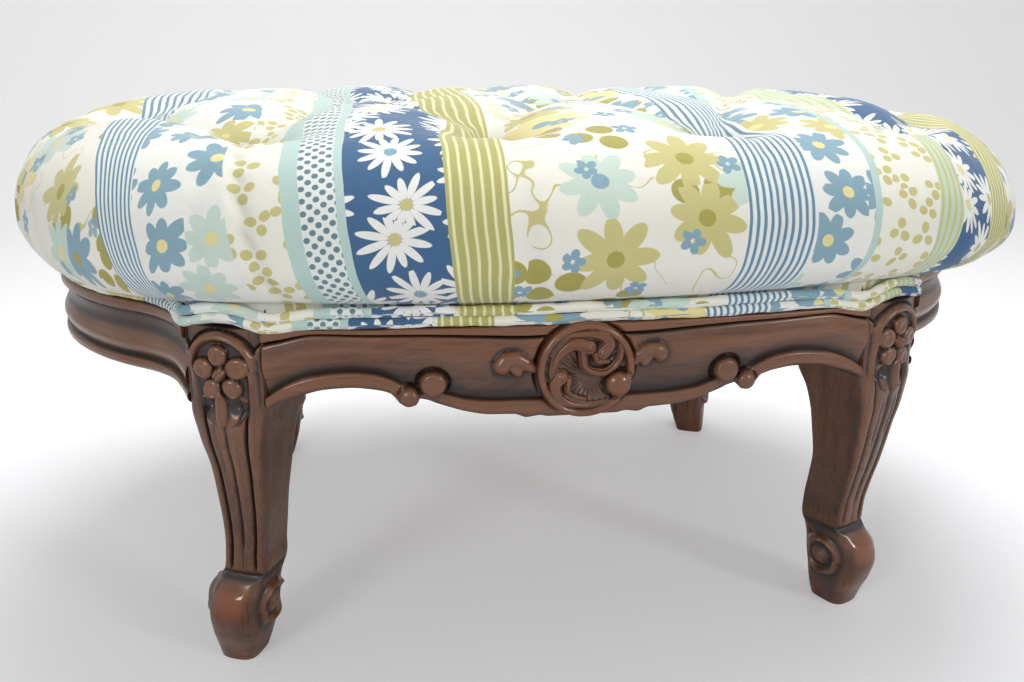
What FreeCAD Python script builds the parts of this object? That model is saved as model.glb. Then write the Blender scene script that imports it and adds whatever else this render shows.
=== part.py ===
"""Upholstered footstool: four scroll-foot cabriole legs, bowed carved rails and a tufted top.

The frame stands on +Z with its origin at the centre of the floor plane under it. +X runs
along the length and -Y is the front. Lengths are millimetres and angles are degrees.
"""

import FreeCAD, Part
import math
import os

import Sketcher

from FreeCAD import Placement, Rotation, Vector

UP = Vector(0, 0, 1)

SIZES = {
    # Plan of the show-wood frame
    "frame_half_length": 245.0,
    "frame_half_depth": 231.0,
    "front_rail_bow": 14.0,
    "end_rail_bow": 119.0,
    "end_rail_radius": 185.0,
    "end_rail_reverse": 58.0,
    # Heights of the rails
    "rail_underside": 199.0,
    "end_rail_underside": 212.0,
    "show_wood_height": 260.0,
    "tack_strip_height": 16.0,
    "tack_strip_setback": 9.0,
    "front_rail_thickness": 25.0,
    "end_rail_thickness": 26.0,
    "bead_height": 7.0,
    "groove_depth": 4.0,
    "field_bulge": 1.5,
    "arch_height": 222.0,
    "arch_peak_station": 144.0,
    "arch_foot_height": 206.0,
    "scroll_station": 109.0,
    "scroll_lip_radius": 6.0,
    "apron_height": 203.5,
    "recess_depth": 2.2,
    "edge_bead_width": 8.5,
    # Carved ornaments of the long rails
    "rosette_radius": 31.0,
    "rosette_height": 231.0,
    "rosette_relief": 7.0,
    "bean_station": 44.0,
    "bean_height": 236.0,
    "bean_radius": 8.0,
    "boss_station": 94.7,
    "boss_height": 224.0,
    "boss_radius": 8.5,
    # Legs
    "leg_azimuth": 25.0,
    "post_width": 53.0,
    "post_depth": 56.0,
    "knee_block_bottom": 206.0,
    "knee_swell": 11.0,
    "knee_shoulder": 4.0,
    "shoulder_height": 247.0,
    "knee_ground": -1.0,
    "hood_radius": 22.0,
    "petal_radius": 7.5,
    "foot_volute_radius": 17.0,
    "foot_volute_height": 46.0,
    "foot_volute_eye": 5.0,
    "foot_volute_width": 44.0,
    "foot_shift": 22.0,
    # Joinery
    "dowel_diameter": 10.0,
    "dowel_in_leg": 15.0,
    "dowel_in_rail": 28.0,
    "dowel_pitch": 24.0,
    "dowel_low_height": 224.0,
    "glue_clearance": 0.1,
    "block_side": 36.0,
    "block_height": 44.0,
    "block_bottom": 222.0,
    "screw_diameter": 4.0,
    "screw_head_diameter": 8.0,
    "screw_length": 28.0,
    "screw_bite": 12.0,
    # Seat support
    "webbing_width": 50.0,
    "webbing_thickness": 1.5,
    "webbing_long_pitch": 105.0,
    "webbing_cross_pitch": 82.0,
    "tack_head_diameter": 7.0,
    "tack_shank_diameter": 1.8,
    "tack_length": 11.0,
    "tack_head_height": 0.9,
    "hessian_thickness": 1.0,
    "hessian_margin": 15.0,
    # Upholstery
    "cushion_half_length": 384.0,
    "cushion_half_depth": 275.0,
    "cushion_front_radius": 1000.0,
    "cushion_end_radius": 330.0,
    "cushion_corner_radius": 128.0,
    "cushion_top": 381.0,
    "cushion_underside": 275.0,
    "cover_thickness": 1.8,
    "pad_clearance": 0.3,
    "core_thickness": 46.0,
    "core_margin": 50.0,
    "tuft_pitch": 150.0,
    "tuft_row_pitch": 178.0,
    "tuft_offset": 26.0,
    "tuft_left_end_shift": 26.0,
    "tuft_left_end_forward": 60.0,
    "tuft_depth": 34.0,
    "tuft_mouth_radius": 64.0,
    "pleat_depth": 12.0,
    "pleat_width": 96.0,
    "side_pleat_depth": 6.0,
    "side_pleat_width": 34.0,
    "twine_diameter": 2.0,
    "knot_diameter": 5.0,
    "tie_length": 22.0,
    "tie_diameter": 6.0,
    "welt_height": 6.2,
    "welt_gap": 0.3,
    "welt_overhang": 1.5,
}

doc = FreeCAD.newDocument("footstool")
sheet = doc.addObject("Spreadsheet::Sheet", "sizes")
for row, (alias, value) in enumerate(SIZES.items(), start=1):
    sheet.set(f"A{row}", alias)
    sheet.set(f"B{row}", str(value))
    sheet.setAlias(f"B{row}", alias)
doc.recompute()


def mm(alias):
    """The value of one named cell of the sheet."""
    return float(sheet.get(alias))


# Shared values worked out from the sheet

azimuth = math.radians(mm("leg_azimuth"))
OUT = Vector(math.sin(azimuth), -math.cos(azimuth), 0)
ACROSS = Vector(math.cos(azimuth), math.sin(azimuth), 0)
HALF_POST = mm("post_width") / 2
STATION = Vector(
    mm("frame_half_length") - HALF_POST * math.cos(azimuth),
    -mm("frame_half_depth") + HALF_POST * math.sin(azimuth),
    0,
)
FRONT_SEAM = STATION - ACROSS * HALF_POST
END_SEAM = STATION + ACROSS * HALF_POST
FRAME_TOP = mm("show_wood_height") + mm("tack_strip_height")
SETBACK = mm("tack_strip_setback")


def at_height(point, height):
    """The point moved to a height."""
    return Vector(point.x, point.y, height)


def leg_point(across, out, height):
    """A point in the front right leg's own directions, from the middle of its seams."""
    return at_height(STATION + ACROSS * across + OUT * out, height)


# Plan curves: each long rail is one arc, each end rail an arc between two reverse arcs

FRONT_RADIUS = (FRONT_SEAM.x**2 + mm("front_rail_bow") ** 2) / (2 * mm("front_rail_bow"))
FRONT_CENTRE = Vector(0, -mm("frame_half_depth") - mm("front_rail_bow") + FRONT_RADIUS, 0)
FRONT_ANGLE = math.asin(FRONT_SEAM.x / FRONT_RADIUS)

END_REACH = mm("frame_half_length") + mm("end_rail_bow")
END_RADIUS = mm("end_rail_radius")
END_CENTRE = Vector(END_REACH - END_RADIUS, 0, 0)
END_ANGLE = math.asin((-END_SEAM.y - mm("end_rail_reverse")) / END_RADIUS)
INFLECTION = END_CENTRE + Vector(math.cos(END_ANGLE), -math.sin(END_ANGLE), 0) * END_RADIUS
CHORD = INFLECTION - END_SEAM
CHORD_ANGLE = math.atan2(CHORD.x, CHORD.y)
EXIT_ANGLE = 2 * CHORD_ANGLE - END_ANGLE
REVERSE_RADIUS = CHORD.Length / (2 * math.sin(END_ANGLE - CHORD_ANGLE))
EXIT_NORMAL = Vector(math.cos(EXIT_ANGLE), -math.sin(EXIT_ANGLE), 0)
EXIT_COURSE = Vector(math.sin(EXIT_ANGLE), math.cos(EXIT_ANGLE), 0)
REVERSE_CENTRE = END_SEAM + EXIT_NORMAL * REVERSE_RADIUS


def on_front(x, offset):
    """A point on the front rail's face line at x, offset outwards."""
    radius = FRONT_RADIUS + offset
    return Vector(x, FRONT_CENTRE.y - math.sqrt(radius**2 - x**2), 0)


def on_end(angle, offset):
    """A point on the end rail's main arc, offset outwards."""
    return END_CENTRE + Vector(math.cos(angle), math.sin(angle), 0) * (END_RADIUS + offset)


def on_reverse(angle, offset):
    """A point on the front reverse arc of the right end rail, offset outwards."""
    normal = Vector(math.cos(angle), -math.sin(angle), 0)
    return REVERSE_CENTRE - normal * (REVERSE_RADIUS - offset)


def arc(start, middle, end):
    """An edge through three points."""
    return Part.Arc(start, middle, end).toShape()


def flip(point, x=1, y=1):
    """The point reflected in the YZ or the XZ plane."""
    return Vector(point.x * x, point.y * y, point.z)


def frame_outline(offset, height):
    """A closed wire that follows the frame's plan at an offset outwards from the rail faces."""
    corner = on_front(FRONT_SEAM.x, offset)
    end_start = on_reverse(EXIT_ANGLE, offset)
    bend = on_reverse((EXIT_ANGLE + END_ANGLE) / 2, offset)
    inflection = on_end(-END_ANGLE, offset)
    edges = [arc(flip(corner, x=-1), on_front(0, offset), corner)]
    edges.append(Part.LineSegment(corner, end_start).toShape())
    edges.append(arc(end_start, bend, inflection))
    edges.append(arc(inflection, on_end(0, offset), flip(inflection, y=-1)))
    edges.append(arc(flip(inflection, y=-1), flip(bend, y=-1), flip(end_start, y=-1)))
    edges.append(Part.LineSegment(flip(end_start, y=-1), flip(corner, y=-1)).toShape())
    half = Part.Wire(edges[1:])
    turned = half.copy()
    turned.rotate(Vector(), UP, 180)
    back = edges[0].copy()
    back.rotate(Vector(), UP, 180)
    wire = Part.Wire([edges[0]] + half.Edges + [back] + turned.Edges)
    wire.translate(Vector(0, 0, height))
    return wire


def slab(wire, thickness):
    """A plate of a closed plane wire, thickened upwards."""
    return Part.Face(wire).extrude(Vector(0, 0, thickness))


def carve(solid, tools):
    """The solid with a list of tools cut from it."""
    return solid.cut(tools) if tools else solid


def one_solid(shape):
    """The single solid of a boolean's result, with its split faces joined."""
    solids = shape.removeSplitter().Solids
    if len(solids) != 1:
        raise ValueError(f"expected one solid, found {len(solids)}")
    return solids[0]


def add_feature(label, shape):
    """A sub-part held as a feature whose shape is set here."""
    feature = doc.addObject("Part::Feature", label)
    feature.Label = label
    feature.Shape = shape
    return feature


# Rails


def rail_section(origin, normal, thickness, underside, has_edge_bead):
    """The moulded cross-section of a rail as a face that stands at origin and faces along normal."""
    top = mm("show_wood_height")
    bead = mm("bead_height")
    groove = mm("groove_depth")
    bulge = mm("field_bulge")
    lip = 1.5

    def place(out, height):
        return at_height(origin + normal * out, height)

    def line(start, end):
        return Part.LineSegment(place(*start), place(*end)).toShape()

    def bow(start, middle, end):
        return arc(place(*start), place(*middle), place(*end))

    field_top = top - bead - 1
    field_bottom = underside + (bead + 1 if has_edge_bead else 0)
    waist = field_bottom + 0.6 * (field_top - field_bottom)
    swell = (waist + field_bottom) / 2
    edges = [
        line((-thickness, underside), (-thickness, FRAME_TOP)),
        line((-thickness, FRAME_TOP), (-SETBACK, FRAME_TOP)),
        line((-SETBACK, FRAME_TOP), (-SETBACK, top)),
        line((-SETBACK, top), (-lip, top)),
        bow((-lip, top), (lip / 3, top - bead / 2), (-lip, top - bead)),
        line((-lip, top - bead), (-groove, field_top)),
        bow((-groove, field_top), (-0.8 * groove, (field_top + waist) / 2), (-lip, waist)),
        bow((-lip, waist), (bulge, swell), (-lip, field_bottom)),
    ]
    if has_edge_bead:
        edges.append(line((-lip, field_bottom), (-2 * lip, field_bottom - 1)))
        edges.append(bow((-2 * lip, field_bottom - 1), (lip, underside + bead / 2), (-lip, underside)))
    edges.append(line((-lip, underside), (-thickness, underside)))
    return Part.Face(Part.Wire(edges))


def beyond_flank(seam, away):
    """A block that fills the leg's side of a seam: what the rail's end is cut back to."""
    reach = 160.0
    corner = seam - OUT * reach
    along = OUT * 2 * reach
    corners = [corner, corner + along, corner + along + away * reach, corner + away * reach, corner]
    return Part.Face(Part.makePolygon(corners)).extrude(UP * (FRAME_TOP + 100))


def edge_line(lift, end_x):
    """The lower edge of a long rail in the XZ plane, raised by lift, from the left to the right."""
    peak = mm("arch_peak_station")
    scroll = mm("scroll_station")
    lip = mm("scroll_lip_radius")
    foot = mm("arch_foot_height") + lift
    arch = mm("arch_height") + lift
    apron = mm("apron_height") + lift
    base = mm("rail_underside") + lift
    lip_height = arch - 6
    notch = scroll - lip - 3
    nose = mm("rosette_radius") + 3
    right = [
        Part.LineSegment(Vector(0, 0, base), Vector(nose, 0, base)).toShape(),
        arc(Vector(nose, 0, base), Vector((nose + notch) / 2, 0, apron), Vector(notch, 0, lip_height)),
        Part.LineSegment(Vector(notch, 0, lip_height), Vector(scroll - lip, 0, lip_height - lip / 2)).toShape(),
        arc(
            Vector(scroll - lip, 0, lip_height - lip / 2),
            Vector(scroll, 0, lip_height - lip),
            Vector(scroll + lip, 0, lip_height - lip / 2),
        ),
        arc(Vector(scroll + lip, 0, lip_height - lip / 2), Vector(peak, 0, arch), Vector(end_x, 0, foot)),
    ]
    wire = Part.Wire(right)
    left = wire.mirror(Vector(), Vector(1, 0, 0))
    return Part.Wire(left.Edges + wire.Edges)


def under_edge(lift, low):
    """A face in the XZ plane between the raised lower edge and a level line."""
    end_x = FRONT_SEAM.x + 20
    wire = edge_line(lift, end_x)
    foot = mm("arch_foot_height") + lift
    corners = [Vector(end_x, 0, foot), Vector(end_x, 0, low), Vector(-end_x, 0, low), Vector(-end_x, 0, foot)]
    sides = [Part.LineSegment(a, b).toShape() for a, b in zip(corners, corners[1:])]
    return Part.Face(Part.Wire(Part.__sortEdges__(wire.Edges + sides)))


def turned_disc(x, height, out, radius, relief, hub):
    """A round carved ornament on the front rail: a rimmed disc with a domed hub."""
    rim = relief * 0.45
    points = [(0, relief * hub), (radius * 0.3, relief * 0.55), (radius * 0.72, relief * 0.5)]
    profile = [
        Part.LineSegment(Vector(0, -6, 0), Vector(0, points[0][1], 0)).toShape(),
        arc(
            Vector(0, points[0][1], 0),
            Vector(radius * 0.2, points[0][1] * 0.85, 0),
            Vector(points[1][0], points[1][1], 0),
        ),
        Part.LineSegment(Vector(points[1][0], points[1][1], 0), Vector(points[2][0], points[2][1], 0)).toShape(),
        arc(
            Vector(points[2][0], points[2][1], 0),
            Vector(radius * 0.87, relief, 0),
            Vector(radius, rim, 0),
        ),
        Part.LineSegment(Vector(radius, rim, 0), Vector(radius, -6, 0)).toShape(),
        Part.LineSegment(Vector(radius, -6, 0), Vector(0, -6, 0)).toShape(),
    ]
    solid = Part.Face(Part.Wire(profile)).revolve(Vector(), Vector(0, 1, 0), 360)
    solid.rotate(Vector(), Vector(0, 0, 1), 180)
    point = on_front(x, out)
    solid.translate(Vector(point.x, point.y, height))
    return solid


def pad(x, height, radius, relief):
    """A small domed ornament on the front rail."""
    ball = Part.makeSphere(radius)
    ball.translate(at_height(on_front(x, relief - radius), height))
    return ball


def long_rail():
    """The front rail: its moulded section turned about the bow's centre, with a shaped lower edge."""
    spare = 0.02
    thickness = mm("front_rail_thickness") + mm("front_rail_bow") + 5
    start = FRONT_ANGLE + spare
    normal = Vector(-math.sin(start), -math.cos(start), 0)
    origin = FRONT_CENTRE + normal * FRONT_RADIUS
    section = rail_section(origin, normal, thickness, mm("rail_underside"), False)
    rail = section.revolve(FRONT_CENTRE, UP, math.degrees(2 * start))
    behind = Part.makeBox(600, 200, 400, Vector(-300, -mm("frame_half_depth") + mm("front_rail_thickness"), 0))
    below = under_edge(0, mm("rail_underside") - 60)
    below.translate(Vector(0, -mm("frame_half_depth") - 100, 0))
    below = below.extrude(Vector(0, 200, 0))
    right_cut = beyond_flank(FRONT_SEAM, ACROSS)
    left_cut = right_cut.mirror(Vector(), Vector(1, 0, 0))
    rail = carve(rail, [behind, below, right_cut, left_cut])
    rail = carve(rail, [field_recess()])
    radius = mm("rosette_radius")
    ornaments = [turned_disc(0, mm("rosette_height"), -1, radius, mm("rosette_relief"), 0.9)]
    for side in (-1, 1):
        ornaments.append(turned_disc(side * mm("boss_station"), mm("boss_height"), -2, mm("boss_radius"), 4.0, 1.0))
        ornaments.append(pad(side * mm("bean_station"), mm("bean_height"), mm("bean_radius"), 3.0))
        ornaments.append(pad(side * (mm("bean_station") + 10), mm("bean_height") - 3, mm("bean_radius") * 0.8, 2.0))
    above = Part.makeBox(600, 200, FRAME_TOP, Vector(-300, -400, mm("rail_underside")))
    return one_solid(rail.fuse([item.common(above) for item in ornaments]))


def field_recess():
    """The sunk field of a long rail, which leaves the bead along its shaped lower edge standing."""
    level = mm("show_wood_height") - mm("bead_height") - 1
    face = under_edge(mm("edge_bead_width"), level)
    face.translate(Vector(0, -mm("frame_half_depth") - 60, 0))
    field = face.extrude(Vector(0, 80, 0))
    outer = Part.makeCylinder(FRONT_RADIUS + 20, 400, FRONT_CENTRE)
    inner = Part.makeCylinder(FRONT_RADIUS - mm("recess_depth"), 400, FRONT_CENTRE)
    return field.common(outer.cut(inner))


def end_rail():
    """The right end rail: its section carried along the reverse, main and reverse arcs."""
    thickness = mm("end_rail_thickness")
    underside = mm("end_rail_underside")
    normal = Vector(math.cos(END_ANGLE), -math.sin(END_ANGLE), 0)
    main = rail_section(INFLECTION, normal, thickness, underside, True)
    main = main.revolve(END_CENTRE, UP, math.degrees(2 * END_ANGLE))
    spare = math.radians(8)
    reverse = rail_section(INFLECTION, normal, thickness, underside, True)
    reverse = reverse.revolve(REVERSE_CENTRE, UP, math.degrees(END_ANGLE - EXIT_ANGLE + 2 * spare))
    other = reverse.mirror(Vector(), Vector(0, 1, 0))
    near_cut = beyond_flank(END_SEAM, ACROSS * -1)
    far_cut = near_cut.mirror(Vector(), Vector(0, 1, 0))
    return one_solid(carve(main.fuse([reverse, other]), [near_cut, far_cut]))


# Dowels: two at each of the eight joints, bored into the rail's end and the leg

FRONT_JOINT = on_front(FRONT_SEAM.x, 0) + Vector(0, mm("front_rail_thickness") / 2 + 2, 0)
END_JOINT = END_SEAM - EXIT_NORMAL * (mm("end_rail_thickness") / 2)


def joint_dowels(radius, spare):
    """The four dowels of the front right leg, as cylinders of a radius with spare length at each end."""
    rods = []
    for joint, course in ((FRONT_JOINT, Vector(-1, 0, 0)), (END_JOINT, EXIT_COURSE)):
        length = mm("dowel_in_leg") + mm("dowel_in_rail") + 2 * spare
        start = joint - course * (mm("dowel_in_leg") + spare)
        for level in range(2):
            height = mm("dowel_low_height") + level * mm("dowel_pitch")
            rods.append(Part.makeCylinder(radius, length, at_height(start, height), course))
    return rods


def four_corners(shapes):
    """The shapes of the front right corner, repeated at all four corners."""
    every = []
    for shape in shapes:
        left = shape.mirror(Vector(), Vector(1, 0, 0))
        every += [shape, left]
        every += [item.mirror(Vector(), Vector(0, 1, 0)) for item in (shape, left)]
    return every


# Legs


def leg_section(height, across, outer, inner, width, bow):
    """One level of the leg: a closed wire with a bowed face and four rounded corners."""
    half = width / 2
    front = min(5.0, half / 3)
    rear = min(7.0, half / 3)
    crown = outer + bow

    def place(side, out):
        return leg_point(across + side, out, height)

    turn = 1 - math.sqrt(0.5)
    edges = [arc(place(-half + front, outer), place(0, crown), place(half - front, outer))]
    corners = [(1, outer, front), (1, inner, rear), (-1, inner, rear), (-1, outer, front)]
    joints = []
    for side, end, radius in corners:
        inward = -1 if end == outer else 1
        flat = (side * (half - radius), end)
        flank = (side * half, end + inward * radius)
        middle = (side * (half - turn * radius), end + inward * turn * radius)
        joints.append((flat, middle, flank))
    first, second, third, fourth = joints
    edges.append(arc(place(*first[0]), place(*first[1]), place(*first[2])))
    edges.append(Part.LineSegment(place(*first[2]), place(*second[2])).toShape())
    edges.append(arc(place(*second[2]), place(*second[1]), place(*second[0])))
    edges.append(Part.LineSegment(place(*second[0]), place(*third[0])).toShape())
    edges.append(arc(place(*third[0]), place(*third[1]), place(*third[2])))
    edges.append(Part.LineSegment(place(*third[2]), place(*fourth[2])).toShape())
    edges.append(arc(place(*fourth[2]), place(*fourth[1]), place(*fourth[0])))
    return Part.Wire(edges)


def corner_box(out, low):
    """A box at the front right corner that lies outwards of a distance from the seams and above a level."""
    width = mm("post_width")
    box = Part.makeBox(2 * width, width, FRAME_TOP)
    box.translate(Vector(-width, -width - out, 0))
    box.rotate(Vector(), UP, mm("leg_azimuth"))
    box.translate(at_height(STATION, low))
    return box


def hood(behind, low):
    """The arched top of the knee carving: an arch face carried out along the leg's own direction."""
    radius = mm("hood_radius")
    springing = mm("show_wood_height") - 1 - radius
    left, right = leg_point(-radius, -behind, springing), leg_point(radius, -behind, springing)
    crown = leg_point(0, -behind, springing + radius)
    sides = [left, at_height(left, low), at_height(right, low), right]
    edges = [arc(left, crown, right)]
    edges += [Part.LineSegment(a, b).toShape() for a, b in zip(sides, sides[1:])]
    face = Part.Face(Part.Wire(Part.__sortEdges__(edges)))
    return face.extrude(OUT * (behind + mm("knee_swell")))


# Each level: its share of the knee block's underside height, the middle's place across the leg,
# the face's and the back's place outwards, the width, and how far the face bows
LEG_LEVELS = (
    (0.0, 29, -25, -53, 28, 1.5),
    (0.058, 27, -21, -54, 33, 2),
    (0.136, 24, -14, -54, 38, 2),
    (0.218, 22, -10, -56, 40, 2),
    (0.282, 20, -12, -56, 39, 2),
    (0.33, 17, -19, -56, 36, 2),
    (0.369, 14, -22, -56, 34, 2),
    (0.447, 11, -20, -54, 32, 2),
    (0.544, 6, -14, -48, 33, 2),
    (0.67, 1, -6, -42, 36, 3),
    (0.8, -1, -1, -44, 40, 4),
)


def leg():
    """The front right leg: a loft up the S curve, a knee block with its hood, and the foot's scrolls."""
    bottom = mm("knee_block_bottom")
    swell = mm("knee_swell")
    shoulder = mm("knee_shoulder")
    depth = mm("post_depth")
    width = mm("post_width")
    face = swell - shoulder
    wires = [leg_section(bottom * share, *sizes) for share, *sizes in LEG_LEVELS]
    wires.append(leg_section(bottom * 0.91, 0, shoulder - 2, -depth + 7, width - 5, face - 2))
    wires.append(leg_section(bottom, 0, shoulder, -depth, width, face))
    shaft = Part.makeLoft(wires, True, False)
    block = slab(leg_section(bottom, 0, shoulder, -depth, width, face), FRAME_TOP - bottom)
    setback = SETBACK * math.cos(azimuth) + 0.2
    ground = corner_box(mm("knee_ground"), mm("shoulder_height"))
    block = block.cut([corner_box(-setback, mm("show_wood_height")), ground])
    solid = shaft.fuse(block).fuse(hood(setback + 2, bottom + 5))
    volute = mm("foot_volute_radius")
    half = mm("foot_volute_width") / 2
    scrolls = []
    for radius, reach in ((volute, half), (mm("foot_volute_eye"), half + 1.5)):
        start = leg_point(mm("foot_shift") - reach, -35, mm("foot_volute_height"))
        scrolls.append(Part.makeCylinder(radius, 2 * reach, start, ACROSS))
    solid = solid.fuse(scrolls)
    petal = mm("petal_radius")
    flower_height = mm("shoulder_height") - 14
    flower = []
    for turn in range(5):
        angle = math.radians(90 + 72 * turn)
        side = petal * 1.25 * math.cos(angle)
        rise = petal * 1.25 * math.sin(angle)
        flower.append(Part.makeSphere(petal, leg_point(side, swell - 4, flower_height + rise)))
    flower.append(Part.makeSphere(petal * 0.8, leg_point(0, swell - 0.5, flower_height)))
    solid = solid.fuse(flower)
    holes = joint_dowels(mm("dowel_diameter") / 2 + mm("glue_clearance"), mm("glue_clearance"))
    return one_solid(carve(solid, holes))


# Glue blocks in the eight inner corners between a leg and its rails, each with one screw


def block_body(label, apex, course, spread):
    """A three-sided glue block: a padded triangle with two equal sides and its apex in the corner."""
    body = doc.addObject("PartDesign::Body", label)
    body.Label = label
    plane = next(item for item in body.Origin.OriginFeatures if item.Role == "XY_Plane")
    sketch = body.newObject("Sketcher::SketchObject", label + "_plan")
    sketch.AttachmentSupport = [(plane, "")]
    sketch.MapMode = "FlatFace"
    side = mm("block_side")
    tip = Vector(side * math.cos(spread), side * math.sin(spread), 0)
    sketch.addGeometry(Part.LineSegment(Vector(), Vector(side, 0, 0)), False)
    sketch.addGeometry(Part.LineSegment(Vector(side, 0, 0), tip), False)
    sketch.addGeometry(Part.LineSegment(tip, Vector()), False)
    for first in range(3):
        sketch.addConstraint(Sketcher.Constraint("Coincident", first, 2, (first + 1) % 3, 1))
    sketch.addConstraint(Sketcher.Constraint("Coincident", 0, 1, -1, 1))
    sketch.addConstraint(Sketcher.Constraint("Horizontal", 0))
    long_side = sketch.addConstraint(Sketcher.Constraint("Distance", 0, side))
    short_side = sketch.addConstraint(Sketcher.Constraint("Distance", 2, side))
    sketch.addConstraint(Sketcher.Constraint("Angle", 0, 1, 2, 2, spread))
    sketch.setExpression(f"Constraints[{long_side}]", "sizes.block_side")
    sketch.setExpression(f"Constraints[{short_side}]", "sizes.block_side")
    pad_up = body.newObject("PartDesign::Pad", label + "_pad")
    pad_up.Profile = sketch
    pad_up.Length = mm("block_height")
    pad_up.setExpression("Length", "sizes.block_height")
    turn = math.degrees(math.atan2(course.y, course.x))
    body.Placement = Placement(at_height(apex, mm("block_bottom")), Rotation(UP, turn))
    return body


def screw_shape(tip, course):
    """A countersunk wood screw: its tip, its course from head to tip, as one turned solid."""
    radius = mm("screw_diameter") / 2
    head = mm("screw_head_diameter") / 2
    length = mm("screw_length")
    countersink = head - radius
    outline = [
        Vector(0, 0, 0),
        Vector(radius, 0, 2 * radius),
        Vector(radius, 0, length - countersink - 0.6),
        Vector(head, 0, length - 0.6),
        Vector(head, 0, length),
        Vector(0, 0, length),
        Vector(0, 0, 0),
    ]
    solid = Part.Face(Part.makePolygon(outline)).revolve(Vector(), UP, 360)
    solid.Placement = Placement(tip, Rotation(UP, course * -1))
    return solid


def screw_bore(tip, course, counterbore):
    """The bore of a screw: a clearance hole along its shank and a wide bore behind its head."""
    spare = mm("glue_clearance")
    length = mm("screw_length")
    shank = Part.makeCylinder(mm("screw_diameter") / 2 + spare, length + spare, tip + course * spare, course * -1)
    head = mm("screw_head_diameter") / 2
    seat = tip - course * (length - head + mm("screw_diameter") / 2 - 0.6 - spare)
    bores = [shank, Part.makeCylinder(head + spare, counterbore, seat, course * -1)]
    return bores[0].fuse(bores[1])


FLANK_LINE = mm("front_rail_thickness")
FRONT_APEX = FRONT_SEAM - OUT * (FLANK_LINE / math.cos(azimuth))
TILT = math.sin(EXIT_ANGLE + azimuth) * REVERSE_RADIUS
INNER = mm("end_rail_thickness")
END_APEX = END_SEAM - OUT * (math.sqrt(TILT**2 + 2 * REVERSE_RADIUS * INNER + INNER**2) - TILT)
APEX_NORMAL = (REVERSE_CENTRE - END_APEX).normalize()
APEX_COURSE = Vector(-APEX_NORMAL.y, APEX_NORMAL.x, 0)
CHORD_TILT = math.asin(mm("block_side") / (2 * (REVERSE_RADIUS + INNER)))
END_COURSE = Rotation(UP, -math.degrees(CHORD_TILT)).multVec(APEX_COURSE)
FRONT_SPREAD = math.pi / 2 - azimuth
END_SPREAD = END_COURSE.getAngle(OUT * -1)
SCREW_STATION = 0.6 * mm("block_side")
SCREW_HEIGHT = mm("block_bottom") + mm("block_height") / 2
FRONT_TIP = at_height(FRONT_APEX + Vector(-SCREW_STATION, -mm("screw_bite"), 0), SCREW_HEIGHT)
END_TIP = at_height(END_APEX + END_COURSE * SCREW_STATION + APEX_NORMAL * mm("screw_bite"), SCREW_HEIGHT)
SCREWS = ((FRONT_TIP, Vector(0, -1, 0)), (END_TIP, APEX_NORMAL))


# Webbing: strips nailed over the top of the rails, and a cloth over them


def face_line_x(y, offset):
    """Where the end rail's main arc, offset outwards, stands at y."""
    return END_CENTRE.x + math.sqrt((END_RADIUS + offset) ** 2 - y**2)


def webbing_stations():
    """Each strip's name, whether it runs along the length, and its middle line's place."""
    strips = []
    for place in (-1, 0, 1):
        strips.append((f"webbing_long_{place + 2}", True, place * mm("webbing_long_pitch")))
    for place in range(-2, 3):
        strips.append((f"webbing_cross_{place + 3}", False, place * mm("webbing_cross_pitch")))
    return strips


def tack_places():
    """The head seat of every webbing tack: three at each end of each strip."""
    places = []
    inset = (SETBACK + mm("front_rail_thickness")) / 2
    thickness = mm("webbing_thickness")
    for _, lengthwise, line in webbing_stations():
        for step in (-1, 0, 1):
            station = line + step * mm("webbing_width") / 3
            for end in (-1, 1):
                if lengthwise:
                    places.append(Vector(end * face_line_x(station, -inset), station, FRAME_TOP + thickness))
                else:
                    front = on_front(station, -inset)
                    places.append(Vector(station, -end * front.y, FRAME_TOP + 2 * thickness))
    return places


def tack_shape(seat):
    """A clout tack: a domed head over a tapering shank, hanging from its seat."""
    shank = mm("tack_shank_diameter") / 2
    head = mm("tack_head_diameter") / 2
    outline = [
        Vector(0, 0, -mm("tack_length")),
        Vector(shank, 0, -mm("tack_length") * 0.6),
        Vector(shank, 0, 0),
        Vector(head, 0, 0),
        Vector(head * 0.8, 0, 0.5),
        Vector(0, 0, mm("tack_head_height")),
        Vector(0, 0, -mm("tack_length")),
    ]
    solid = Part.Face(Part.makePolygon(outline)).revolve(Vector(), UP, 360)
    solid.translate(seat)
    return solid


def tack_bores(spare):
    """The holes of all webbing tacks."""
    radius = mm("tack_shank_diameter") / 2 + spare
    return [Part.makeCylinder(radius, mm("tack_length") + spare + 2, seat, UP * -1) for seat in tack_places()]


# Tufts


def tufts():
    """The place of each tuft in plan: four in the front and back rows and five between them."""
    pitch = mm("tuft_pitch")
    shift = mm("tuft_offset")
    outer = [shift + pitch * (index - 1.5) for index in range(4)]
    inner = [shift + pitch * (index - 2) for index in range(5)]
    row = mm("tuft_row_pitch")
    middle = [Vector(x, 0, 0) for x in inner]
    middle[0] -= Vector(mm("tuft_left_end_shift"), mm("tuft_left_end_forward"), 0)
    return [Vector(x, -row, 0) for x in outer], middle, [Vector(x, row, 0) for x in outer]


TUFT_ROWS = tufts()
ALL_TUFTS = [place for row in TUFT_ROWS for place in row]
TUFT_BOTTOM = mm("cushion_top") - mm("tuft_depth")


def ring(centre, radius, height):
    """A circle in three arcs, as a wire."""
    points = []
    for step in range(6):
        angle = math.radians(60 * step)
        points.append(Vector(centre.x + radius * math.cos(angle), centre.y + radius * math.sin(angle), height))
    thirds = ((0, 1, 2), (2, 3, 4), (4, 5, 0))
    return Part.Wire([arc(points[a], points[b], points[c]) for a, b, c in thirds])


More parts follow.
